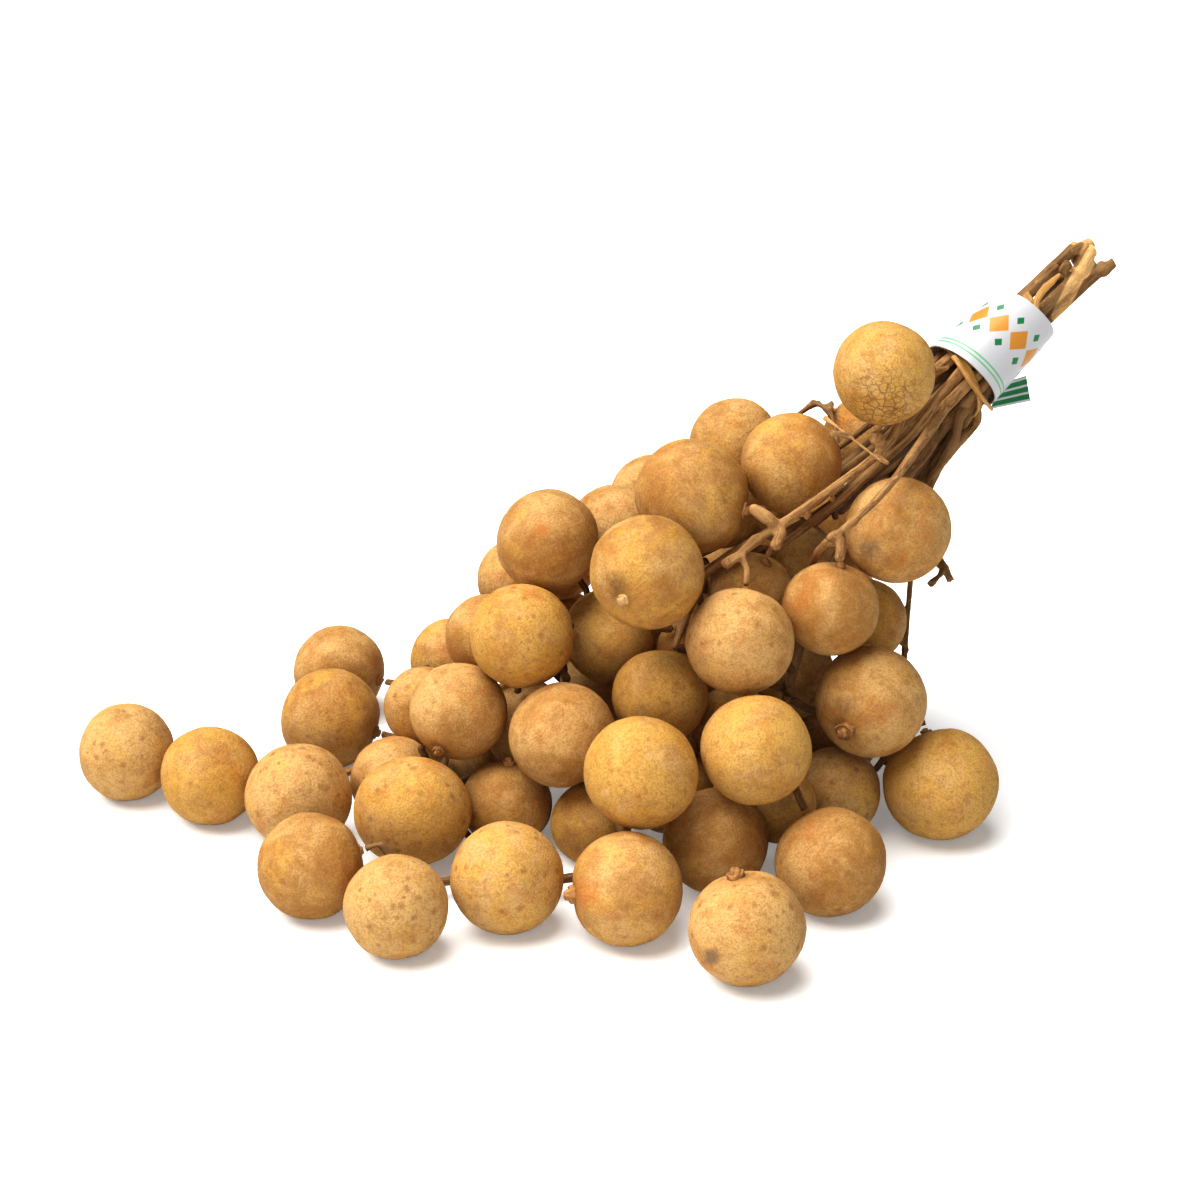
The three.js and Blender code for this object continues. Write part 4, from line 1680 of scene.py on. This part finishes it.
def stem_surface() -> BVHTree:
    """Gather the solid stems.

    Returns:
        The surface of all of them.
    """
    points, faces = [], []
    for name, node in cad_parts.items():
        if name.startswith("spray_"):
            faces += [[index + len(points) for index in face.vertices] for face in node.data.polygons]
            points += [point.co for point in node.data.vertices]
    return BVHTree.FromPolygons(points, faces)


def inner_fit(middle: Vector, radius: float, stems: BVHTree) -> FruitFit:
    """Place a fruit without a solid so that its stalk points at the nearest stem.

    Args:
        middle: The fruit's middle.
        radius: Its radius.
        stems: The surface of the stems.

    Returns:
        The fruit's place.
    """
    nearest = stems.find_nearest(middle)[0]
    return FruitFit(middle, (nearest - middle).normalized(), radius, Longan.height, False)


@dataclass
class InnerTwigs:
    """The bare twigs between the fruit inside the heap, and the stalks of the inner fruit."""

    count: int = 90
    tries: int = 6000
    shortest: float = 8 * MM
    longest: float = 20 * MM
    radius: float = 1.05 * MM
    clear: float = 1.2 * MM
    crowd: int = 8
    crowd_reach: float = 36 * MM
    lowest: float = 3 * MM
    probes: tuple[tuple[float, ...], ...] = ((0.3, 0.6, 1.0), (0.35, 0.7, 1.0))  # along both halves
    seed: int = 77
    stalk_foot: float = 0.9  # a stalk starts at this share of its fruit's radius
    stalk_sink: float = 0.8 * MM
    twig_sink: float = 0.6 * MM
    bent: float = 1.5 * MM
    taper: tuple[float, ...] = (1.15, 1.0, 0.8)
    # their bark is drawn almost at its darkest: painted shade for the deep gaps of the heap
    aged: float = 0.9
    waver: Roughness = Roughness("twig_waver", 2.4 * MM, 0.5 * MM)

    def build(self, fits: Sequence[FruitFit], stems: BVHTree, material: Material) -> Piece:
        """Grow the twigs from the stems by rule, where there is room.

        Args:
            fits: The places of all fruit.
            stems: The surface of the stems.
            material: Their bark.

        Returns:
            The finished piece.
        """
        chance = random.Random(self.seed)
        middles = np.array([fit.middle for fit in fits])
        radii = np.array([fit.radius for fit in fits])
        grown = []
        for fit in fits[-len(INNER_FRUIT):]:
            nearest = stems.find_nearest(fit.middle)[0]
            route = (fit.middle + fit.way * fit.radius * self.stalk_foot,
                     nearest + fit.way * self.stalk_sink)
            grown.append(grow("inner_stalk", route, (self.radius,) * 2))
        low, high = middles.min(axis=0), middles.max(axis=0)
        for _ in range(self.tries):
            if len(grown) >= self.count:
                break
            place = Vector([chance.uniform(low[axis], high[axis]) for axis in range(3)])
            start = stems.find_nearest(place)[0]
            way = (place - start).normalized()
            end = start + way * min((place - start).length, self.longest)
            bend = (start + end) / 2 + Vector([chance.uniform(-1, 1) for _ in range(3)]) * self.bent
            if (end - start).length > self.shortest and self.has_room((start, bend, end), middles, radii):
                route = (start - way * self.twig_sink, bend, end)
                grown.append(grow("inner_twig", route, [self.radius * share for share in self.taper]))
        piece = join(grown)
        piece.name = "inner_twigs"
        note(piece.data, "round", normals(piece.data))
        note(piece.data, "aged", self.aged)
        self.waver.press(piece)
        piece.data.materials.append(material)
        soften(piece, angle=75)
        hang(piece, "stem_bark")
        return piece

    def has_room(self, route: Sequence[Vector], middles: np.ndarray, radii: np.ndarray) -> bool:
        """Tell whether a twig is clear of all fruit and inside the heap.

        Args:
            route: Its three points.
            middles: The middles of all fruit.
            radii: Their radii.

        Returns:
            True where it fits.
        """
        start, bend, end = (np.array(point) for point in route)
        points = [start + (bend - start) * share for share in self.probes[0]]
        points += [bend + (end - bend) * share for share in self.probes[1]]
        gaps = np.array([np.linalg.norm(middles - point, axis=1) - radii for point in points])
        crowd = (np.linalg.norm(middles - end, axis=1) < self.crowd_reach).sum()
        return bool(gaps.min() > self.clear and crowd >= self.crowd and end[2] > self.lowest)


@dataclass
class StemSpray:
    """One main stem with its side twigs, grown with bark from its solid."""

    node: str
    voxel: float = 0.5 * MM
    rounds: int = 5
    swell: float = 0.12 * MM
    slimming: float = 0.45 * MM
    slim_from: float = -80 * MM
    slim_all: float = -30 * MM
    cut: float = 1.3 * MM
    cut_tilt: float = 0.25
    waver: Roughness = Roughness("stem_waver", 9.0 * MM, 0.36 * MM)
    ridges: Roughness = Roughness("bark_ridges", 1.1 * MM, 0.14 * MM)
    slim_steps: int = 10
    end_grain: float = 0.5 * MM
    end_bareness: float = 0.5
    seen_past: float = -0.1  # bare wood reaches a little round the edge of what is seen
    wood_edge: float = 1.5

    def build(self, material: Material) -> Piece:
        """Build the spray.

        Args:
            material: Its bark.

        Returns:
            The finished piece.
        """
        piece = merged_copy(self.node, self.node.replace("_stem", "_bark"))
        tree = BVHTree.FromObject(piece, bpy.context.evaluated_depsgraph_get())
        grown = [sprig.build(tree) for sprig in SPRIGS if sprig.spray == self.node]
        piece = join([piece, *grown])
        self.dress(piece, material, STEM_AGE_AND_SHADE.get(self.node, TOP_AGE_AND_SHADE))
        hang(piece, "stem_bark", self.node)
        return piece

    def dress(self, piece: Piece, material: Material, aged: float) -> None:
        """Turn smooth stems into one skin of bark.

        Args:
            piece: The stems.
            material: Their bark.
            aged: How dark its bark is drawn: partly darker with age, partly painted shade where the stem
                lies in shadow.
        """
        finish_with(piece, "REMESH", mode="VOXEL", voxel_size=self.voxel)
        finish_with(piece, "SMOOTH", factor=0.5, iterations=self.rounds)
        note(piece.data, "round", normals(piece.data))
        finish_with(piece, "DISPLACE", strength=self.swell, mid_level=0.0)
        self.slim(piece)
        self.waver.press(piece)
        self.ridges.press(piece)
        top = self.cut_top(piece)
        self.strip(piece, top)
        # Darker along the band towards the cut top, and by the stem's own value: partly age, partly painted
        # shade.
        mark = BUNDLE.chart(positions(piece.data))[0]
        above = np.clip((mark - PaperBand.start) / PaperBand.length, 0, 1) * TOP_AGE_AND_SHADE
        note(piece.data, "aged", np.maximum(above, aged))
        piece.data.materials.append(material)
        soften(piece, angle=50)

    def slim(self, piece: Piece) -> None:
        """Take some of the bark off where the stems run close together.

        Args:
            piece: The stems.
        """
        mark = BUNDLE.chart(positions(piece.data))[0]
        share = np.clip((mark - self.slim_from) / (self.slim_all - self.slim_from), 0, 1)
        group = piece.vertex_groups.new(name="slim")
        for step in range(1, self.slim_steps + 1):
            points = np.nonzero(np.rint(share * self.slim_steps) == step)[0]
            group.add(points.tolist(), step / self.slim_steps, "REPLACE")
        finish_with(piece, "DISPLACE", strength=-self.slimming, mid_level=0.0, vertex_group="slim")

    def cut_top(self, piece: Piece) -> float:
        """Cut the stems' top end off flat.

        Args:
            piece: The stems.

        Returns:
            The mark along the bundle of the cut.
        """
        top = BUNDLE.chart(positions(piece.data))[0].max() - self.cut
        if top > PaperBand.start + PaperBand.length:
            tilt = BUNDLE.side * self.cut_tilt + BUNDLE.along
            open_mesh(piece)
            bpy.ops.mesh.bisect(plane_co=BUNDLE.foot + BUNDLE.along * top, plane_no=tilt.normalized(),
                                use_fill=True, clear_outer=True)
            close_mesh()
        return top

    def strip(self, piece: Piece, top: float) -> None:
        """Mark where the bark is stripped off to bare wood.

        Args:
            piece: The spray's bark.
            top: The mark of the cut at its top end.
        """
        places = positions(piece.data)
        seen, shown = VIEW.seen(places), VIEW.facing(places, normals(piece.data)) > self.seen_past
        cut_from = max(top, PaperBand.start) - self.end_grain
        bare = np.where(BUNDLE.chart(places)[0] > cut_from, self.end_bareness, 0.0)
        for wood in BARE_WOOD:
            start, end = np.array(wood.start, float), np.array(wood.end, float)
            line = end - start
            share = np.clip((seen - start) @ line / (line @ line), 0, 1)
            away = np.linalg.norm(seen - (start + share[:, None] * line), axis=1) / wood.half
            bare = np.maximum(bare, np.where(shown, np.clip(self.wood_edge - away, 0, 1), 0))
        note(piece.data, "bare", bare)


# How dark the bark of a main stem is drawn, and that of all others: partly darker with age, and partly
# painted shade, so that stems lying in shadow are drawn dark and the lit upper stem light.
STEM_AGE_AND_SHADE = {"spray_upper_stem": 0.0, "spray_outer_stem": 0.12, "spray_tip_stem": 0.35}
TOP_AGE_AND_SHADE = 0.6


@dataclass(frozen=True)
class BareWood:
    """A strip of bare wood on the stems, by where it is seen."""

    start: Pixel
    end: Pixel
    half: float  # half its width, in pixels


BARE_WOOD = (
    BareWood((1058, 316), (1081, 270), 6.5),
    BareWood((1081, 270), (1097, 240), 9.0),
)


# The label and the tie.


@dataclass
class PaperBand:
    """The paper label round the bundle, and its free striped end."""

    start: float = 16 * MM
    length: float = 25.5 * MM
    radius: float = 9.25 * MM
    wall: float = 0.35 * MM
    waves: int = 5
    wave: float = 0.15 * MM
    sides: int = 120
    rows: int = 14
    flap_length: float = 13 * MM
    askew: float = 1.2 * MM
    wave_from: float = -0.4
    creases: Roughness = Roughness("paper_creases", 9 * MM, 0.35 * MM)
    flap_creases: Roughness = Roughness("flap_creases", 6 * MM, 0.5 * MM)
    flap_cells: tuple[int, int] = (16, 12)
    flap_lean: tuple[float, float] = (0.95, -0.3)  # to the bundle's side and to its front
    flap_angle: float = math.radians(107)
    flap_inset: float = 1.5 * MM
    flap_rise: float = 0.5 * MM
    flap_corners: tuple[Pixel, ...] = ((991, 409), (1030, 401), (1000, 384), (1026, 376))

    def build(self, materials: dict[PrintPlan, Material]) -> list[Piece]:
        """Build the band and the flap.

        Args:
            materials: The finishes of both.

        Returns:
            The finished pieces.
        """
        band = self.band(materials[PrintPlan.BAND], materials[PrintPlan.PLAIN])
        flap = self.flap(materials[PrintPlan.FLAP])
        hang(band, "label_paper", "paper_band")
        hang(flap, "label_paper")
        return [band, flap]

    def band(self, material: Material, plain: Material) -> Piece:
        """Build the band itself.

        Args:
            material: Its printed paper.
            plain: The paper's unprinted side.

        Returns:
            The band.
        """
        deselect()
        lower = self.radius + BUNDLE.spread * self.length
        bpy.ops.mesh.primitive_cylinder_add(vertices=self.sides, radius=self.radius, depth=self.length,
                                            end_fill_type="NOTHING")
        band = made("label_band")
        open_parts(band, Part.VERT, lambda point: point.co.z < 0)
        bpy.ops.transform.resize(value=(lower / self.radius, lower / self.radius, 1))
        close_mesh()
        self.subdivide_up(band)
        places = positions(band.data)
        angle = np.arctan2(places[:, 1], places[:, 0])
        group = band.vertex_groups.new(name="wave")
        weights = 0.5 + 0.5 * np.cos(self.waves * (angle - self.wave_from))
        for index, weight in enumerate(weights):
            group.add([index], float(weight), "REPLACE")
        finish_with(band, "DISPLACE", strength=2 * self.wave, mid_level=0.5, vertex_group="wave")
        places = positions(band.data)
        up = places[:, 2] / self.length + 0.5
        places[:, 2] += self.askew * (1 + np.sin(angle))
        move_to(band.data, places)
        note(band.data, "chart", np.c_[np.cos(angle), np.sin(angle), up])
        band.data.transform(BUNDLE.matrix(self.start + self.length / 2))
        self.creases.press(band)
        band.data.materials.append(material)
        band.data.materials.append(plain)
        finish_with(band, "SOLIDIFY", thickness=self.wall, offset=-1, material_offset=1,
                    material_offset_rim=1)
        soften(band, angle=50)
        return band

    def subdivide_up(self, band: Piece) -> None:
        """Divide the band's upright edges into rows.

        Args:
            band: The band, still one row of faces.
        """
        def upright(edge: bpy.types.MeshEdge) -> bool:
            """Tell whether an edge runs up the band."""
            first, second = (band.data.vertices[index].co for index in edge.vertices)
            return abs(first.z - second.z) > self.length / 2

        open_parts(band, Part.EDGE, upright)
        bpy.ops.mesh.subdivide(number_cuts=self.rows - 1)
        close_mesh()

    def flap(self, material: Material) -> Piece:
        """Build the free end of the paper, which stands off behind the bundle.

        Args:
            material: Its striped paper.

        Returns:
            The flap.
        """
        deselect()
        columns, rows = self.flap_cells
        bpy.ops.mesh.primitive_grid_add(x_subdivisions=columns, y_subdivisions=rows, size=1)
        flap = made("label_flap")
        shares = positions(flap.data) + 0.5
        note(flap.data, "chart", np.c_[np.ones(len(shares)), np.zeros(len(shares)), shares[:, 1]])
        outward = BUNDLE.side * self.flap_lean[0] + BUNDLE.front * self.flap_lean[1]
        across = BUNDLE.along.cross(outward).normalized()
        mark = self.start + self.flap_length / 2 + self.flap_rise
        reach = self.radius + BUNDLE.spread_at(mark) - self.flap_inset
        root = BUNDLE.at(mark, self.flap_angle, reach)
        lower_left, lower_right, upper_left, upper_right = (
            np.array(VIEW.on_plane(corner, root, across)) for corner in self.flap_corners)
        right, up = shares[:, :1], shares[:, 1:2]
        placed = ((lower_left * (1 - right) + lower_right * right) * (1 - up)
                  + (upper_left * (1 - right) + upper_right * right) * up)
        move_to(flap.data, placed)
        self.flap_creases.press(flap)
        finish_with(flap, "SOLIDIFY", thickness=self.wall, offset=0)
        flap.data.materials.append(material)
        soften(flap, angle=50)
        return flap


@dataclass(frozen=True)
class StrawEnd:
    """A loose end of the straw that lies on the bundle, by where it is seen."""

    path: tuple[Pixel, ...]
    away: float  # in millimetres from the bundle's line
    halves: tuple[float, ...]  # half its width at each point, in millimetres


STRAW_ENDS = (
    StrawEnd(((953, 356), (960, 366), (970, 381), (981, 396), (992, 410)), 11.2,
             (0.7, 0.75, 0.85, 0.7, 0.4)),
    StrawEnd(((1036, 309), (1037, 299), (1045, 288), (1052, 282), (1060, 274)), 8.6,
             (0.8, 0.95, 1.1, 0.9, 0.5)),
)


@dataclass
class StrawTie:
    """The strip of straw wound round the bundle."""

    node: str = "tie_strip"
    start: float = 12 * MM
    end: float = 44 * MM
    turns: float = 2.4
    start_angle: float = math.radians(110)
    end_rows: int = 24
    tucked: float = 0.6 * MM
    tuck_over: float = 2 * MM
    radius: float = 8 * MM
    end_columns: int = 6
    end_rounds: int = 3
    end_arch: float = 0.35 * MM
    end_thickness: float = 0.3 * MM
    crumple: Roughness = Roughness("straw_crumple", 2.2 * MM, 0.4 * MM)
    end_crumple: Roughness = Roughness("straw_crumple", 2.2 * MM, 0.5 * MM)

    def build(self, material: Material) -> Piece:
        """Build the strip.

        Args:
            material: Its straw.

        Returns:
            The finished piece.
        """
        piece = merged_copy(self.node, "straw_strip")
        finish_with(piece, "SUBSURF", levels=2, render_levels=2, subdivision_type="SIMPLE")
        self.chart(piece)
        self.tuck(piece)
        finish_with(piece, "SMOOTH", factor=0.5, iterations=3)
        self.crumple.press(piece)
        piece.data.materials.append(material)
        soften(piece, angle=50)
        hang(piece, "tie_straw", self.node)
        for number, end in enumerate(STRAW_ENDS):
            hang(self.ribbon(f"straw_end_{number}", end, material), "tie_straw")
        return piece

    def ribbon(self, name: str, end: StrawEnd, material: Material) -> Piece:
        """Build a loose end of the strip that lies round the bundle.

        Args:
            name: The piece's name.
            end: Where it lies, and how wide it is.
            material: Its straw.

        Returns:
            The loose end.
        """
        route = np.array([BUNDLE.seen_on(pixel, end.away * MM) for pixel in end.path])
        knots = np.linspace(0, 1, len(end.path))
        shares = np.linspace(0, 1, self.end_rows + 1)
        middles = np.c_[tuple(np.interp(shares, knots, route[:, axis]) for axis in range(3))]
        for _ in range(self.end_rounds):
            middles[1:-1] = (middles[:-2] + 2 * middles[1:-1] + middles[2:]) / 4
        half = np.interp(shares, knots, end.halves) * MM
        deselect()
        bpy.ops.mesh.primitive_grid_add(x_subdivisions=self.end_rows,
                                        y_subdivisions=self.end_columns, size=1)
        strip = made(name)
        flat = positions(strip.data) + 0.5
        row = np.rint(flat[:, 0] * self.end_rows).astype(int)
        along = np.gradient(middles, axis=0)[row]
        out = BUNDLE.outward(BUNDLE.chart(middles[row])[1])
        sideways = np.cross(out, along)
        sideways /= np.linalg.norm(sideways, axis=1)[:, None]
        across = (flat[:, 1] - 0.5) * 2 * half[row]
        arch = out * (np.cos((flat[:, 1] - 0.5) * math.pi) * self.end_arch)[:, None]
        move_to(strip.data, middles[row] + sideways * across[:, None] + arch)
        length = np.linalg.norm(np.diff(middles, axis=0), axis=1).sum()
        note(strip.data, "strand", np.c_[flat[:, 0] * length, across, np.zeros(len(flat))])
        finish_with(strip, "SOLIDIFY", thickness=self.end_thickness, offset=0)
        finish_with(strip, "SUBSURF", levels=1, render_levels=1)
        self.end_crumple.press(strip)
        strip.data.materials.append(material)
        soften(strip)
        return strip

    def tuck(self, piece: Piece) -> None:
        """Press the strip closer to the stems where the paper band covers it.

        Args:
            piece: The strip.
        """
        places = positions(piece.data)
        mark, angle, _ = BUNDLE.chart(places)
        out = BUNDLE.outward(angle)
        depth = np.minimum(mark - PaperBand.start, PaperBand.start + PaperBand.length - mark)
        share = np.clip(depth / self.tuck_over + 1, 0, 1)
        move_to(piece.data, places - out * (share * self.tucked)[:, None])

    def chart(self, piece: Piece) -> None:
        """Keep how far each point is along and across the strip.

        Args:
            piece: The strip.
        """
        mark, angle, away = BUNDLE.chart(positions(piece.data))
        turned = (self.start_angle - angle) / (2 * math.pi)
        pitch = (self.end - self.start) / self.turns
        round_number = np.round((mark - self.start) / pitch - turned)
        share = (turned + round_number) / self.turns
        across = mark - (self.start + (self.end - self.start) * share)
        length = share * self.turns * 2 * math.pi * self.radius
        note(piece.data, "strand", np.c_[length, across, away])


# The studio.


@dataclass(frozen=True)
class Studio:
    """A pale floor and soft light from above, the left and the front."""

    floor_size: float = 14.0
    ambient: float = 0.13
    seen_white: float = 1.0
    key: float = 5.5
    key_way: Point = (0.42, 0.0, -1.0)
    key_softness: float = math.radians(64)
    fill: float = 7.0
    fill_size: float = 1.1
    fill_place: Point = (-0.1, -1.15, 0.24)
    fill_aim: Point = (0, 0, 0.04)
    floor_seen: Rgba = linear(243, 245, 246)
    floor_glow: float = 0.24
    floor_lighting: Rgba = linear(224, 224, 224)
    floor_roughness: float = 0.9
    floor_specular: float = 0.1
    contrast: float = 0.79

    def build(self) -> None:
        """Build the floor, the world and the lights."""
        deselect()
        bpy.ops.mesh.primitive_plane_add(size=self.floor_size)
        floor = made("floor")
        material, nodes, shader = start_material("floor_white", self.floor_specular)
        path = nodes.add("ShaderNodeLightPath")
        colour = nodes.mix(path.outputs["Is Camera Ray"], self.floor_lighting, self.floor_seen)
        nodes.tree.links.new(colour, shader.inputs["Base Color"])
        shader.inputs["Emission Color"].default_value = (1, 1, 1, 1)
        glow = nodes.times(path.outputs["Is Camera Ray"], self.floor_glow)
        nodes.tree.links.new(glow, shader.inputs["Emission Strength"])
        shader.inputs["Roughness"].default_value = self.floor_roughness
        floor.data.materials.append(material)
        self.light_world()
        self.sun()
        self.light_front()
        bpy.context.scene.view_settings.view_transform = "Standard"
        bpy.context.scene.view_settings.gamma = self.contrast

    def light_world(self) -> None:
        """Make a dim white surround that looks bright white itself."""
        world = bpy.data.worlds.new("studio")
        world.use_nodes = True
        nodes = Nodes(world.node_tree)
        background = world.node_tree.nodes["Background"]
        background.inputs[0].default_value = (1, 1, 1, 1)
        path = nodes.add("ShaderNodeLightPath")
        strength = nodes.add("ShaderNodeMapRange", {0: path.outputs["Is Camera Ray"], 3: self.ambient,
                                                    4: self.seen_white})
        nodes.tree.links.new(strength.outputs[0], background.inputs[1])
        bpy.context.scene.world = world

    def sun(self) -> None:
        """Add the large soft light from above, the left and the front."""
        data = bpy.data.lights.new("key_light", "SUN")
        data.energy = self.key
        data.angle = self.key_softness
        lamp = bpy.data.objects.new("key_light", data)
        lamp.location = -Vector(self.key_way)
        lamp.rotation_euler = Vector(self.key_way).to_track_quat("-Z", "Y").to_euler()
        bpy.context.scene.collection.objects.link(lamp)

    def light_front(self) -> None:
        """Add the soft square lamp in front of the bunch."""
        data = bpy.data.lights.new("fill_light", "AREA")
        data.size = self.fill_size
        data.energy = self.fill
        lamp = bpy.data.objects.new("fill_light", data)
        lamp.location = self.fill_place
        way = Vector(self.fill_aim) - Vector(self.fill_place)
        lamp.rotation_euler = way.to_track_quat("-Z", "Y").to_euler()
        bpy.context.scene.collection.objects.link(lamp)


def main() -> None:
    """Build the studio and every piece of the bunch."""
    VIEW.place_camera()
    Studio().build()
    shared = SharedEffects()
    skin = SkinFinish().build(shared)
    bark = BarkFinish("stem_bark").build(shared)
    ring_bark = RING_BARK.build(shared)
    paper = {plan: PaperFinish(plan).build(shared) for plan in PrintPlan}
    straw = StrawFinish().build(shared)

    fruit_count = sum(1 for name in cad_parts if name.startswith("longan_"))
    masters = FruitMasters()
    stems = stem_surface()
    fruits = [Longan(number) for number in range(1, fruit_count + 1)]
    for number, (middle, radius) in enumerate(INNER_FRUIT, fruit_count + 1):
        fruits.append(Longan(number, inner_fit(Vector(middle) * MM, radius * MM, stems)))
    for fruit in fruits:
        fruit.build(masters, (skin, ring_bark))
    fits = [fruit.fit() for fruit in fruits]
    log.info("%d longans, %d more inside the heap", fruit_count, len(INNER_FRUIT))
    masters.clear()
    twigs = InnerTwigs().build(fits, stems, bark)
    log.info("%s: %d faces", twigs.name, len(twigs.data.polygons))
    for node in sorted(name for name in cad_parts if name.startswith("spray_")):
        piece = StemSpray(node).build(bark)
        log.info("%s: %d faces", piece.name, len(piece.data.polygons))
    for number, stem in enumerate(SIDE_STEMS, 1):
        piece = stem.build()
        piece.name = f"bundle_stem_{number}"
        StemSpray(stem.spray).dress(piece, bark, stem.aged)
        hang(piece, "stem_bark")
    log.info("%d stems beside the main ones", len(SIDE_STEMS))
    PaperBand().build(paper)
    log.info("paper band and flap")
    StrawTie().build(straw)
    log.info("straw tie")


if __name__ == "__main__":
    logging.basicConfig(level=logging.INFO, format="%(message)s")
    main()
